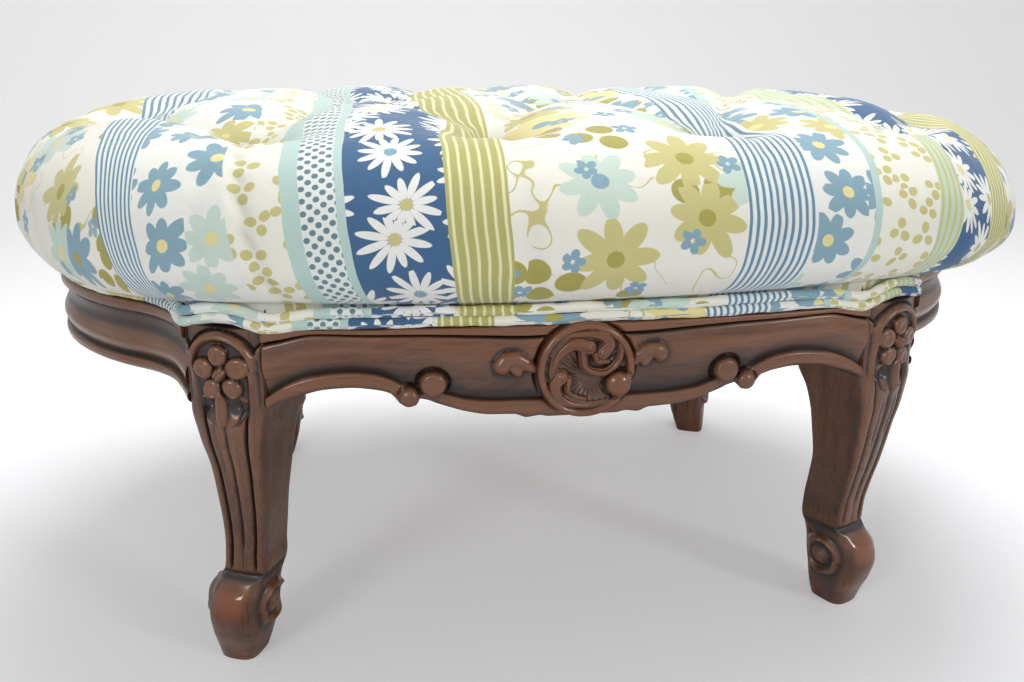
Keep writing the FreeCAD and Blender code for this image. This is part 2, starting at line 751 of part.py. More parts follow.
def dimple(place, grow):
    """The hollow of one tuft: a funnel that flares smoothly to its mouth."""
    bottom = TUFT_BOTTOM - grow
    depth = mm("tuft_depth")
    mouth = mm("tuft_mouth_radius")
    levels = [(0, 3.0), (0.14 * depth, 0.10 * mouth), (0.4 * depth, 0.22 * mouth)]
    levels += [(0.72 * depth, 0.46 * mouth), (0.93 * depth, 0.74 * mouth), (1.06 * depth, 1.1 * mouth)]
    return Part.makeLoft([ring(place, radius + grow, bottom + rise) for rise, radius in levels], True, False)


def valley(bottoms, half_width, lift, grow):
    """A V-shaped groove whose lowest line runs through given points, with its rim a lift above them."""
    course = bottoms[-1] - bottoms[0]
    along = Vector(course.x, course.y, 0).normalize()
    side = Vector(-along.y, along.x, 0)
    spare = 4.5 + grow
    wires = []
    for index, bottom in enumerate(bottoms):
        reach = {0: -spare, len(bottoms) - 1: spare}.get(index, 0)
        low = bottom + along * reach - UP * grow
        rim = side * (half_width + grow)
        top = low + UP * (lift + grow)
        wires.append(Part.makePolygon([low, top - rim, top + rim, low]))
    return Part.makeLoft(wires, True, True)


def crown_fold(start, end, grow):
    """A fold between two tufts: deepest at both, and shallower where it crosses a pillow's side."""
    crown = mm("cushion_top")
    deep = crown - mm("tuft_depth") * 0.55
    bottoms = [at_height(start, deep), at_height((start + end) / 2, crown - mm("pleat_depth")), at_height(end, deep)]
    return valley(bottoms, mm("pleat_width") / 2, mm("tuft_depth") * 0.55 + 3, grow)


def side_fold(place, grow):
    """A shallow pleat from an outer tuft over the cushion's shoulder to its widest line."""
    crown = mm("cushion_top")
    depth = mm("side_pleat_depth")
    outward = math.copysign(1, place.y)
    bottoms = [at_height(place, crown - mm("tuft_depth") * 0.55)]
    for share, inset in SHOULDER:
        height = mm("cushion_underside") + (crown - mm("cushion_underside")) * share - depth
        reach = cushion_reach(place.x, inset + depth / 2)
        bottoms.append(Vector(place.x, outward * reach, height))
    return valley(bottoms, mm("side_pleat_width") / 2, 2.2 * depth, grow)


SHOULDER = ((0.93, 66), (0.86, 45), (0.76, 27), (0.64, 15), (0.5, 5.5))


def cushion_reach(x, inset):
    """How far the cushion's front lies from the middle at a station along it."""
    radius = mm("cushion_front_radius")
    return mm("cushion_half_depth") - inset - radius + math.sqrt(radius**2 - x**2)


# Cushion


def cushion_outline(inset, height):
    """A closed plan wire of eight tangent arcs, drawn in from the cushion's widest by an inset."""
    length = mm("cushion_half_length") - inset
    depth = mm("cushion_half_depth") - inset
    share = length / mm("cushion_half_length")
    front = mm("cushion_front_radius") * share
    end = mm("cushion_end_radius") * share
    corner = mm("cushion_corner_radius") * share
    front_centre = Vector(0, front - depth, 0)
    end_centre = Vector(length - end, 0, 0)
    span = end_centre - front_centre
    near = front - corner
    far = end - corner
    reach = (near**2 - far**2 + span.Length**2) / (2 * span.Length)
    rise = math.sqrt(near**2 - reach**2)
    course = span * (1 / span.Length)
    aside = Vector(-course.y, course.x, 0)
    centres = [front_centre + course * reach + aside * rise, front_centre + course * reach - aside * rise]
    centre = max(centres, key=lambda point: point.x - point.y)
    first = front_centre + (centre - front_centre) * (front / near)
    last = end_centre + (centre - end_centre) * (end / far)
    bisector = ((centre - front_centre).normalize() + (centre - end_centre).normalize()).normalize()
    middle = centre + bisector * corner
    right, left = Vector(length, 0, 0), Vector(-length, 0, 0)
    edges = [
        arc(flip(first, x=-1), Vector(0, -depth, 0), first),
        arc(first, middle, last),
        arc(last, right, flip(last, y=-1)),
        arc(flip(last, y=-1), flip(middle, y=-1), flip(first, y=-1)),
        arc(flip(first, y=-1), Vector(0, depth, 0), flip(first, x=-1, y=-1)),
        arc(flip(first, x=-1, y=-1), flip(middle, x=-1, y=-1), flip(last, x=-1, y=-1)),
        arc(flip(last, x=-1, y=-1), left, flip(last, x=-1)),
        arc(flip(last, x=-1), flip(middle, x=-1), flip(first, x=-1)),
    ]
    wire = Part.Wire(edges)
    wire.translate(Vector(0, 0, height))
    return wire


def cushion_form(skin):
    """The cushion's crowned form with tufts and pleats, drawn in all over by a skin thickness."""
    low = mm("cushion_underside")
    rise = mm("cushion_top") - low
    levels = [(0.0, 30), (0.05, 18), (0.13, 7), (0.24, 0), (0.38, 1), (0.5, 5.5), (0.64, 15)]
    levels += [(0.76, 27), (0.86, 45), (0.93, 66), (0.975, 90), (1.0, 118)]
    wires = []
    for share, inset in levels:
        lift = skin * (1 - 2 * share)
        wires.append(cushion_outline(inset + skin, low + rise * share + lift))
    form = Part.makeLoft(wires, True, False)
    return form.cut(tuft_cutters(skin))


def tuft_cutters(grow):
    """Everything that the tufting presses into the crown."""
    front, middle, back = TUFT_ROWS
    cutters = [dimple(place, grow) for place in ALL_TUFTS]
    for row in (front, back):
        for index, place in enumerate(row):
            cutters += [crown_fold(place, other, grow) for other in (middle[index], middle[index + 1])]
            cutters.append(side_fold(place, grow))
    return cutters


def cover(inner_form):
    """The top cover: a fabric shell over the cushion, drawn down to the tack strip all round."""
    skin = mm("cover_thickness")
    gap = mm("pad_clearance")
    height = mm("cushion_underside") + 4
    low = mm("show_wood_height") + 1
    outer_skirt = slab(frame_outline(-SETBACK + gap + skin, low), height - low)
    inner_skirt = slab(frame_outline(-SETBACK + gap, low - 2), height + 4 - low)
    outer = cushion_form(0).fuse(outer_skirt)
    shell = outer.cut([inner_form, inner_skirt])
    return one_solid(carve(shell, twine_bores()))


def wadding(inner_form):
    """The cotton wadding that fills the cover round and over the core."""
    gap = mm("pad_clearance")
    seat = slab(frame_outline(gap * 2, mm("show_wood_height")), CORE_BOTTOM - mm("show_wood_height"))
    return one_solid(carve(inner_form, [seat, core_form(gap)] + twine_bores()))


HESSIAN_BOTTOM = FRAME_TOP + 2 * mm("webbing_thickness") + mm("tack_head_height") + 0.2
CORE_BOTTOM = HESSIAN_BOTTOM + mm("hessian_thickness") + mm("pad_clearance")


def core_form(grow):
    """The firm core's crowned block."""
    margin = mm("core_margin") - grow
    height = mm("core_thickness")
    levels = [(0.0, 8), (0.35, 0), (0.8, 6), (1.0, 30)]
    bottom = CORE_BOTTOM - grow
    wires = [cushion_outline(margin + inset, bottom + share * (height + 2 * grow)) for share, inset in levels]
    return Part.makeLoft(wires, True, False)


def twine_bores():
    """The thin holes that the tufting twines pass through."""
    radius = mm("twine_diameter") / 2 + mm("glue_clearance")
    low = FRAME_TOP - 20
    return [Part.makeCylinder(radius, TUFT_BOTTOM - low + 3, at_height(place, low)) for place in ALL_TUFTS]


def twine(place):
    """One tufting twine with the knot that draws the cover down."""
    radius = mm("twine_diameter") / 2
    low = FRAME_TOP - mm("tie_diameter") / 2
    line = Part.makeCylinder(radius, TUFT_BOTTOM + 1 - low, at_height(place, low))
    knot = Part.makeSphere(mm("knot_diameter") / 2, at_height(place, TUFT_BOTTOM + mm("knot_diameter") / 2 + 0.1))
    return one_solid(line.fuse(knot))


def welt(level):
    """One fabric-covered welt cord laid round the frame on the rails' shelf."""
    height = mm("welt_height")
    inner = -SETBACK + mm("cover_thickness") + 3 * mm("pad_clearance")
    low = mm("show_wood_height") + mm("welt_gap") + level * (height + mm("welt_gap"))
    hole = slab(frame_outline(inner, low - 1), height + 2)
    ring_body = slab(frame_outline(mm("welt_overhang"), low), height).cut(hole)
    rims = [edge for edge in ring_body.Edges if abs(edge.BoundBox.ZLength) < 0.01]
    return one_solid(ring_body.makeFillet(height * 0.35, rims))


# Build every sub-part

nodes = []


def keep(label, feature):
    """The feature is a sub-part of the hand-in under its label."""
    feature.Label = label
    nodes.append((label, feature))
    return feature


def mirrored(label, source, normal):
    """A mirror image of a sub-part in a plane through the origin."""
    twin = doc.addObject("Part::Mirroring", label)
    twin.Source = source
    twin.Normal = normal
    twin.Base = Vector()
    return twin


ACROSS_LENGTH = Vector(1, 0, 0)
ACROSS_DEPTH = Vector(0, 1, 0)

tack_holes = tack_bores(0.02)
screw_bores = [screw_bore(tip, course, 40) for tip, course in SCREWS]
dowel_bores = four_corners(joint_dowels(mm("dowel_diameter") / 2 + mm("glue_clearance"), mm("glue_clearance")))
rail_bores = dowel_bores + four_corners(screw_bores) + tack_holes

front_rail = keep("front_rail", add_feature("front_rail", one_solid(carve(long_rail(), rail_bores))))
right_rail = keep("right_rail", add_feature("right_rail", one_solid(carve(end_rail(), rail_bores))))
keep("back_rail", mirrored("back_rail", front_rail, ACROSS_DEPTH))
keep("left_rail", mirrored("left_rail", right_rail, ACROSS_LENGTH))

leg_front_right = keep("leg_front_right", add_feature("leg_front_right", leg()))
leg_front_left = keep("leg_front_left", mirrored("leg_front_left", leg_front_right, ACROSS_LENGTH))
keep("leg_back_right", mirrored("leg_back_right", leg_front_right, ACROSS_DEPTH))
keep("leg_back_left", mirrored("leg_back_left", leg_front_left, ACROSS_DEPTH))

rods = four_corners(joint_dowels(mm("dowel_diameter") / 2, 0))
keep("rail_dowels", add_feature("rail_dowels", Part.makeCompound(rods)))

BLOCKS = (
    ("long", FRONT_APEX, OUT * -1, FRONT_SPREAD, front_rail, screw_bores[0]),
    ("end", END_APEX, END_COURSE, END_SPREAD, right_rail, screw_bores[1]),
)
for kind, apex, course, spread, rail, bore in BLOCKS:
    blank = block_body(f"{kind}_block_blank", apex, course, spread)
    tool = add_feature(f"{kind}_block_bore", bore)
    fitted = doc.addObject("Part::Cut", f"{kind}_block_fitted")
    fitted.Base = blank
    fitted.Tool = rail
    drilled = doc.addObject("Part::Cut", f"{kind}_block_front_right")
    drilled.Base = fitted
    drilled.Tool = tool
    keep(f"glue_block_{kind}_front_right", drilled)
    left = keep(f"glue_block_{kind}_front_left", mirrored(f"{kind}_front_left", drilled, ACROSS_LENGTH))
    keep(f"glue_block_{kind}_back_right", mirrored(f"{kind}_back_right", drilled, ACROSS_DEPTH))
    keep(f"glue_block_{kind}_back_left", mirrored(f"{kind}_back_left", left, ACROSS_DEPTH))

screws = four_corners([screw_shape(tip, course) for tip, course in SCREWS])
keep("glue_block_screws", add_feature("glue_block_screws", Part.makeCompound(screws)))

twine_holes = twine_bores()
strip_edge = slab(frame_outline(-SETBACK - 2, FRAME_TOP - 5), 30)
strip_tool = add_feature("strip_holes", Part.makeCompound(tack_holes + twine_holes))
strip_limit = add_feature("strip_limit", strip_edge)
for label, lengthwise, line in webbing_stations():
    strip = doc.addObject("Part::Box", label + "_strip")
    strip.setExpression("Height", "sizes.webbing_thickness")
    if lengthwise:
        strip.setExpression("Length", "2 * (sizes.frame_half_length + sizes.end_rail_bow)")
        strip.setExpression("Width", "sizes.webbing_width")
        origin = Vector(-END_REACH, line - mm("webbing_width") / 2, FRAME_TOP)
    else:
        strip.setExpression("Length", "sizes.webbing_width")
        strip.setExpression("Width", "2 * (sizes.frame_half_depth + sizes.front_rail_bow)")
        half_depth = mm("frame_half_depth") + mm("front_rail_bow")
        origin = Vector(line - mm("webbing_width") / 2, -half_depth, FRAME_TOP + mm("webbing_thickness"))
    strip.Placement = Placement(origin, Rotation())
    trimmed = doc.addObject("Part::Common", label + "_trimmed")
    trimmed.Base = strip
    trimmed.Tool = strip_limit
    pierced = doc.addObject("Part::Cut", label)
    pierced.Base = trimmed
    pierced.Tool = strip_tool
    keep(label, pierced)

tacks = [tack_shape(seat) for seat in tack_places()]
keep("webbing_tacks", add_feature("webbing_tacks", Part.makeCompound(tacks)))

hessian = slab(frame_outline(-mm("hessian_margin"), HESSIAN_BOTTOM), mm("hessian_thickness"))
keep("hessian", add_feature("hessian", one_solid(carve(hessian, twine_holes))))

keep("firm_core", add_feature("firm_core", one_solid(carve(core_form(0), twine_holes))))
lining = cushion_form(mm("cover_thickness"))
keep("cotton_wadding", add_feature("cotton_wadding", wadding(lining)))
keep("top_cover", add_feature("top_cover", cover(lining)))

twines = [twine(place) for place in ALL_TUFTS]
keep("tufting_twines", add_feature("tufting_twines", Part.makeCompound(twines)))

ties = []
for place in ALL_TUFTS:
    half = mm("tie_length") / 2
    height = FRAME_TOP - mm("tie_diameter") / 2 - 0.2
    start = at_height(place - Vector(half, 0, 0), height)
    roll = Part.makeCylinder(mm("tie_diameter") / 2, 2 * half, start, ACROSS_LENGTH)
    bore_radius = mm("twine_diameter") / 2 + mm("glue_clearance")
    ties.append(roll.cut(Part.makeCylinder(bore_radius, 20, at_height(place, height - 10))))
keep("twine_ties", add_feature("twine_ties", Part.makeCompound(ties)))

for level, name in enumerate(("welt_lower", "welt_upper")):
    keep(name, add_feature(name, welt(level)))

doc.recompute()

for item in doc.Objects:
    if {"Invalid", "Error"} & set(item.State):
        raise RuntimeError(f"{item.Label} did not compute: {item.State}")

os.makedirs("parts", exist_ok=True)
for label, feature in nodes:
    shape = feature.Shape
    if shape.isNull() or not shape.isValid() or not shape.Solids:
        raise RuntimeError(f"{label} has no valid solid")
    box = shape.BoundBox
    print(f"{label}: {len(shape.Solids)} solids, {box.XLength:.1f} x {box.YLength:.1f} x {box.ZLength:.1f}")
    shape.exportStep(os.path.join("parts", label + ".step"))
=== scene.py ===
"""Upholstered footstool: carved walnut frame, tufted top and double welt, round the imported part.

Shapes are worked out in millimetres and become metres when their mesh is made.
"""

import math
from functools import partial

import bpy
import numpy as np
from mathutils import Matrix, Vector


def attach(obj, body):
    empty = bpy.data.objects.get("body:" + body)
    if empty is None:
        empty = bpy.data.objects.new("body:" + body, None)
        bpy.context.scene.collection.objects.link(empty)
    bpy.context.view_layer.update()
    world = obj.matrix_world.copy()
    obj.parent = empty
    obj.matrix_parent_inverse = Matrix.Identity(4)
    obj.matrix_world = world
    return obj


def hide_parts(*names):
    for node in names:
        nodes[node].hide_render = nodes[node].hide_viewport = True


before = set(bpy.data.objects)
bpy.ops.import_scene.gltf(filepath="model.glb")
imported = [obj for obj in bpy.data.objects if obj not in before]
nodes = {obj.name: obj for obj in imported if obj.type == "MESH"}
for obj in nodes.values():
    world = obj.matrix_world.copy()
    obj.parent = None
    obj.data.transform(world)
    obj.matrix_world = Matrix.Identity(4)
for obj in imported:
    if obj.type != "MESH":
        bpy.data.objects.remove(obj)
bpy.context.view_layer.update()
MM = 0.001

# The frame's plan, in millimetres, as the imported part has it
HALF_LENGTH = 245.0
HALF_DEPTH = 231.0
FRONT_BOW = 14.0
END_REACH = 364.0
END_RADIUS = 185.0
END_REVERSE = 58.0
AZIMUTH = math.radians(25.0)
HALF_POST = 26.5
WOOD_TOP = 260.0
FRAME_TOP = 276.0
SETBACK = 9.0
OUT = np.array([math.sin(AZIMUTH), -math.cos(AZIMUTH)])
ACROSS = np.array([math.cos(AZIMUTH), math.sin(AZIMUTH)])
STATION = np.array([HALF_LENGTH, -HALF_DEPTH]) - HALF_POST * np.array([ACROSS[0], -ACROSS[1]])
FRONT_SEAM = STATION - ACROSS * HALF_POST
END_SEAM = STATION + ACROSS * HALF_POST
FRONT_RADIUS = (FRONT_SEAM[0] ** 2 + FRONT_BOW**2) / (2 * FRONT_BOW)
BOW_CENTRE = -HALF_DEPTH - FRONT_BOW + FRONT_RADIUS
END_START = math.asin((-END_SEAM[1] - END_REVERSE) / END_RADIUS)
END_CENTRE = np.array([END_REACH - END_RADIUS, 0.0])
END_CHORD = END_CENTRE + END_RADIUS * np.array([math.cos(END_START), -math.sin(END_START)]) - END_SEAM
END_CHORD_ANGLE = math.atan2(END_CHORD[0], END_CHORD[1])
END_LEAVE = 2 * END_CHORD_ANGLE - END_START
END_NORMAL = np.array([math.cos(END_LEAVE), -math.sin(END_LEAVE)])


# Formulas that several pieces share


def smooth(low, high, x):
    """0 below low, 1 above high, and 3t squared less 2t cubed between them."""
    t = np.clip((x - low) / (high - low), 0, 1)
    return t * t * (3 - 2 * t)


def bell(x, width):
    """A bump of height 1: e to the minus square of x over width."""
    return np.exp(-((x / width) ** 2))


def dome(x, width):
    """A half round of height 1 and half width width: the root of 1 less the square of x over width."""
    return np.sqrt(np.clip(1 - (x / width) ** 2, 0, 1))


def through(knots, values, x):
    """A smooth curve through values at knots: cubic pieces with slopes that don't overshoot."""
    knots, values, x = np.asarray(knots, float), np.asarray(values, float), np.asarray(x, float)
    step = np.diff(knots)
    slope = np.diff(values) / step
    before, after = slope[:-1], slope[1:]
    same_way = before * after > 0
    total = np.where(same_way, before + after, 1)
    inner = np.where(same_way, 2 * before * after / total, 0)
    tangent = np.concatenate([slope[:1], inner, slope[-1:]])
    place = np.clip(np.searchsorted(knots, x) - 1, 0, len(step) - 1)
    width = step[place]
    t = np.clip((x - knots[place]) / width, 0, 1)
    start, end = values[place], values[place + 1]
    ease = t * t * (3 - 2 * t)
    rise = t * (1 - t) ** 2 * tangent[place] - t * t * (1 - t) * tangent[place + 1]
    return start + (end - start) * ease + rise * width


def rounded_line(points, count=28):
    """A smooth line through a few points in a plane: each coordinate runs through its own values."""
    points = np.asarray(points, float)
    steps = np.hypot(*np.diff(points, axis=0).T)
    along = np.concatenate([[0], np.cumsum(steps)])
    t = np.linspace(0, along[-1], count)
    return np.stack([through(along, column, t) for column in points.T], -1)


def stroke(x, z, points, start_radius, end_radius):
    """How high a half-round carved line stands at each place: its radius runs from start to end."""
    line = rounded_line(points)
    radii = np.linspace(start_radius, end_radius, len(line))
    height = np.zeros_like(x)
    for (ax, az), (bx, bz), first, second in zip(line, line[1:], radii, radii[1:]):
        dx, dz = bx - ax, bz - az
        t = np.clip(((x - ax) * dx + (z - az) * dz) / (dx * dx + dz * dz + 1e-9), 0, 1)
        distance = np.hypot(x - ax - t * dx, z - az - t * dz)
        radius = first + (second - first) * t
        height = np.maximum(height, radius * dome(distance, radius))
    return height


def blurred(values, reach, closed=False):
    """Values on a grid, averaged twice along each axis over their neighbours within a reach."""
    for axis in (0, 1):
        for _ in range(2):
            if closed and axis == 1:
                ends = np.concatenate([values[:, -reach:], values, values[:, :reach]], 1)
            else:
                width = [(0, 0), (0, 0)]
                width[axis] = (reach, reach)
                ends = np.pad(values, width, mode="edge")
            total = np.cumsum(ends, axis)
            total = np.insert(total, 0, 0, axis)
            size = values.shape[axis]
            upper = np.take(total, np.arange(2 * reach + 1, 2 * reach + 1 + size), axis)
            lower = np.take(total, np.arange(size), axis)
            values = (upper - lower) / (2 * reach + 1)
    return values


def hollows(relief, reach, closed=False):
    """How far each place lies below its near and its wide neighbourhood, in millimetres: the mark for the
    wood's painted shade and highlight.
    """
    near, wide = blurred(relief, reach, closed), blurred(relief, 3 * reach, closed)
    return 0.7 * (near - relief) + 0.6 * (wide - relief)


def linked(name, vertices, faces, sharp):
    """A smooth-shaded object from points in millimetres; edges sharper than an angle stay sharp."""
    mesh = bpy.data.meshes.new(name)
    mesh.from_pydata((vertices * MM).tolist(), [], faces)
    mesh.shade_smooth()
    mesh.set_sharp_from_angle(angle=math.radians(sharp))
    piece = bpy.data.objects.new(name, mesh)
    bpy.context.scene.collection.objects.link(piece)
    return piece


def quads_of(wrapped):
    """The four corners of each cell of a grid of point numbers."""
    corners = [wrapped[:-1, :-1], wrapped[:-1, 1:], wrapped[1:, 1:], wrapped[1:, :-1]]
    return np.stack(corners, -1).reshape(-1, 4)


def grid_piece(name, points, closed=False, uv=None, marks=None, poles=(None, None), rolled=False,
               capped=False, turned=False, sharp=60):
    """A piece from a (rows, columns, 3) grid of points, closed round its columns or not.

    uv is a (rows, columns, 2) map. marks are values for each point. A pole is a point that closes the
    first or the last row. rolled joins the last row to the first, capped closes the two end columns of
    a rolled grid, and turned reverses the faces.
    """
    rows, columns = points.shape[:2]
    number = np.arange(rows * columns).reshape(rows, columns)
    wrapped = np.concatenate([number, number[:, :1]], 1) if closed else number
    wrapped = np.concatenate([wrapped, wrapped[:1]], 0) if rolled else wrapped
    faces = quads_of(wrapped).tolist()
    vertices = points.reshape(-1, 3)
    for pole, row, forward in ((poles[0], 0, False), (poles[1], -1, True)):
        if pole is not None:
            centre = np.full(wrapped.shape[1] - 1, len(vertices))
            vertices = np.vstack([vertices, pole])
            one, two = wrapped[row, :-1], wrapped[row, 1:]
            faces += np.stack([one, two, centre] if forward else [two, one, centre], -1).tolist()
    if capped:
        faces += [number[::-1, 0].tolist(), number[:, -1].tolist()]
    if turned:
        faces = [face[::-1] for face in faces]
    piece = linked(name, vertices, faces, sharp)
    mesh = piece.data
    if uv is not None:
        layer = mesh.uv_layers.new(name="surface")
        flat = np.zeros((len(vertices), 2))
        flat[: rows * columns] = uv.reshape(-1, 2) * MM
        corner = np.zeros(len(mesh.loops), int)
        mesh.loops.foreach_get("vertex_index", corner)
        layer.data.foreach_set("uv", flat[corner].ravel())
    for label, values in (marks or {}).items():
        full = np.zeros(len(vertices), np.float32)
        full[: rows * columns] = np.broadcast_to(values, (rows, columns)).ravel()
        mesh.attributes.new(label, "FLOAT", "POINT").data.foreach_set("value", full)
    return piece


def marks_for(points, **marks):
    """Marks of a carved face, carried on as zero over the plain rows that follow it."""
    return {name: np.vstack([values, np.zeros((len(points) - len(values), values.shape[1]))])
            for name, values in marks.items()}


def end_middles(points):
    """The middles of a grid's first and last row, which are its poles."""
    return points[0].mean(0), points[-1].mean(0)


def tubes_piece(name, tubes):
    """One piece from several closed tubes, (rows, columns, 3) each and all of one size, with poles."""
    rows, columns = tubes[0].shape[:2]
    number = np.arange(rows * columns).reshape(rows, columns)
    wrapped = np.concatenate([number, number[:, :1]], 1)
    quads = quads_of(wrapped)
    first, last = np.full(columns, rows * columns), np.full(columns, rows * columns + 1)
    fans = np.vstack([np.stack([wrapped[0, 1:], wrapped[0, :-1], first], -1),
                      np.stack([wrapped[-1, :-1], wrapped[-1, 1:], last], -1)])
    vertices, faces = [], []
    for index, tube in enumerate(tubes):
        start = index * (rows * columns + 2)
        vertices += [tube.reshape(-1, 3), tube[:1].mean(1), tube[-1:].mean(1)]
        faces += (quads + start).tolist() + (fans + start).tolist()
    return linked(name, np.vstack(vertices), faces, 50)


def fitted(piece, material, slot, *stands_for):
    """The piece gets its material, rides on the frame and stands for its solids."""
    piece.data.materials.clear()
    piece.data.materials.append(material)
    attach(piece, "root")
    if stands_for:
        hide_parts(*stands_for)


# Material helpers


def tint(red, green, blue):
    """A colour as it is seen, from 0 to 1 a channel, turned into the renderer's linear values."""
    return tuple((channel / 12.92 if channel <= 0.04 else ((channel + 0.055) / 1.055) ** 2.4)
                 for channel in (red, green, blue)) + (1.0,)


def place_node(tree, kind, inputs=(), **settings):
    """A node with its settings and its inputs, each a value or another node's socket."""
    made = tree.nodes.new(kind)
    for name, value in settings.items():
        setattr(made, name, value)
    for key, value in dict(inputs).items():
        socket = made.inputs[key]
        if isinstance(value, bpy.types.NodeSocket):
            tree.links.new(value, socket)
        else:
            socket.default_value = value
    return made


def tree_of(values):
    """The node tree that the first socket among some values belongs to."""
    return next(value.id_data for value in values if isinstance(value, bpy.types.NodeSocket))


def maths(operation, *values, clamp=False):
    """The result of one Math node."""
    settings = {"operation": operation, "use_clamp": clamp}
    return place_node(tree_of(values), "ShaderNodeMath", enumerate(values), **settings).outputs[0]


times, plus, minus, ratio = (partial(maths, kind) for kind in ("MULTIPLY", "ADD", "SUBTRACT", "DIVIDE"))


def vector_maths(operation, *values, output=0):
    """One output of a Vector Math node: its vector, or for a length its value."""
    made = place_node(tree_of(values), "ShaderNodeVectorMath", enumerate(values), operation=operation)
    return made.outputs[output]


def blend(share, under, over, mode="MIX"):
    """Two colours mixed by a share."""
    inputs = {0: share, 6: under, 7: over}
    tree = tree_of(inputs.values())
    return place_node(tree, "ShaderNodeMix", inputs, data_type="RGBA", blend_type=mode).outputs[2]


def between(value, low, high):
    """A value's place between low and high, from 0 to 1 and smoothed."""
    inputs = {0: value, 1: low, 2: high}
    return place_node(value.id_data, "ShaderNodeMapRange", inputs, interpolation_type="SMOOTHSTEP").outputs[0]


def noise(vector, scale, detail=3.0, roughness=0.5, dimensions="3D"):
    """The value of one Noise texture."""
    inputs = {"Vector": vector, "Scale": scale, "Detail": detail, "Roughness": roughness}
    return place_node(vector.id_data, "ShaderNodeTexNoise", inputs, noise_dimensions=dimensions).outputs[0]


def apart(vector):
    """A vector's three values."""
    return place_node(vector.id_data, "ShaderNodeSeparateXYZ", {0: vector}).outputs


def attribute(tree, name):
    """A value that the mesh holds at each point."""
    return place_node(tree, "ShaderNodeAttribute", attribute_name=name).outputs["Fac"]


def cloth_plane(tree):
    """The piece's own map, turned from metres to millimetres."""
    source = place_node(tree, "ShaderNodeUVMap", uv_map="surface").outputs[0]
    return place_node(tree, "ShaderNodeMapping", {"Vector": source, "Scale": (1000, 1000, 1000)}).outputs[0]


def bumped(shader, height, strength, distance):
    """A height joined to the shader's normal through a Bump node."""
    inputs = {"Height": height, "Strength": strength, "Distance": distance}
    bump = place_node(height.id_data, "ShaderNodeBump", inputs)
    height.id_data.links.new(bump.outputs[0], shader.inputs["Normal"])


def finish_of(shader, **values):
    """Values that are the same all over, set on the shader's own sockets."""
    for name, value in values.items():
        shader.inputs[name.replace("_", " ")].default_value = value


def shader_group(name, inputs, outputs):
    """A new shader node group with named sockets: its tree, its input node and its output node."""
    tree = bpy.data.node_groups.new(name, "ShaderNodeTree")
    for label, kind, default in inputs:
        socket = tree.interface.new_socket(label, in_out="INPUT", socket_type=kind)
        if default is not None:
            socket.default_value = default
    for label, kind in outputs:
        tree.interface.new_socket(label, in_out="OUTPUT", socket_type=kind)
    return tree, tree.nodes.new("NodeGroupInput"), tree.nodes.new("NodeGroupOutput")


def use_group(group, **inputs):
    """A shared group placed in a material with its own values."""
    named = {name.replace("_", " "): value for name, value in inputs.items()}
    return place_node(tree_of(inputs.values()), "ShaderNodeGroup", named, node_tree=group)


def new_material(name):
    """An empty material: its tree and its Principled shader, joined to the output."""
    material = bpy.data.materials.new(name)
    material.use_nodes = True
    return material, material.node_tree, material.node_tree.nodes["Principled BSDF"]


# Wood


def wood_figure():
    """Walnut figure: growth lines from stretched noise, fine dark pores, painted shade in the hollows and
    painted highlights on the ridges.
    """
    tree, given, result = shader_group(
        "wood figure",
        [
            ("Grain Vector", "NodeSocketVector", None),
            ("Hollow", "NodeSocketFloat", 0.0),
            ("Dark", "NodeSocketColor", tint(0.11, 0.065, 0.045)),
            ("Middle", "NodeSocketColor", tint(0.345, 0.20, 0.115)),
            ("Light", "NodeSocketColor", tint(0.50, 0.315, 0.185)),
        ],
        [("Color", "NodeSocketColor"), ("Roughness", "NodeSocketFloat"), ("Height", "NodeSocketFloat")],
    )
    vector = given.outputs["Grain Vector"]
    bend = noise(vector, 0.35, 2.0)
    lines = noise(vector, 1.6, 4.0, 0.6)
    pores = noise(vector, 7.0, 2.0, 0.7)
    cloud = noise(vector, 0.12, 2.0)
    figure = between(plus(times(bend, 0.55), times(lines, 0.5)), 0.36, 0.70)
    colour = blend(figure, given.outputs["Middle"], given.outputs["Light"])
    shade = between(cloud, 0.35, 0.7)
    colour = blend(times(shade, 0.5), colour, given.outputs["Dark"])
    pore_mask = between(pores, 0.60, 0.68)
    colour = blend(times(pore_mask, 0.45), colour, given.outputs["Dark"])
    # Painted shade: the colour darkens towards Dark in the hollows, where shade falls.
    hollow_shade = between(given.outputs["Hollow"], 0.0, 1.3)
    colour = blend(times(hollow_shade, 0.94), colour, given.outputs["Dark"])
    # Painted highlight: the colour lightens towards Light on ridges that stand proud of their neighbours.
    proud = between(times(given.outputs["Hollow"], -1.0), 0.1, 0.9)
    colour = blend(times(proud, 0.55), colour, given.outputs["Light"])
    tree.links.new(colour, result.inputs["Color"])
    rough = plus(times(lines, 0.16), times(hollow_shade, 0.25))
    tree.links.new(plus(rough, 0.21), result.inputs["Roughness"])
    height = minus(times(lines, 0.4), pore_mask)
    tree.links.new(height, result.inputs["Height"])
    return tree


WOOD_FIGURE = wood_figure()
ALONG_GRAIN, ACROSS_GRAIN = 14.0, 260.0


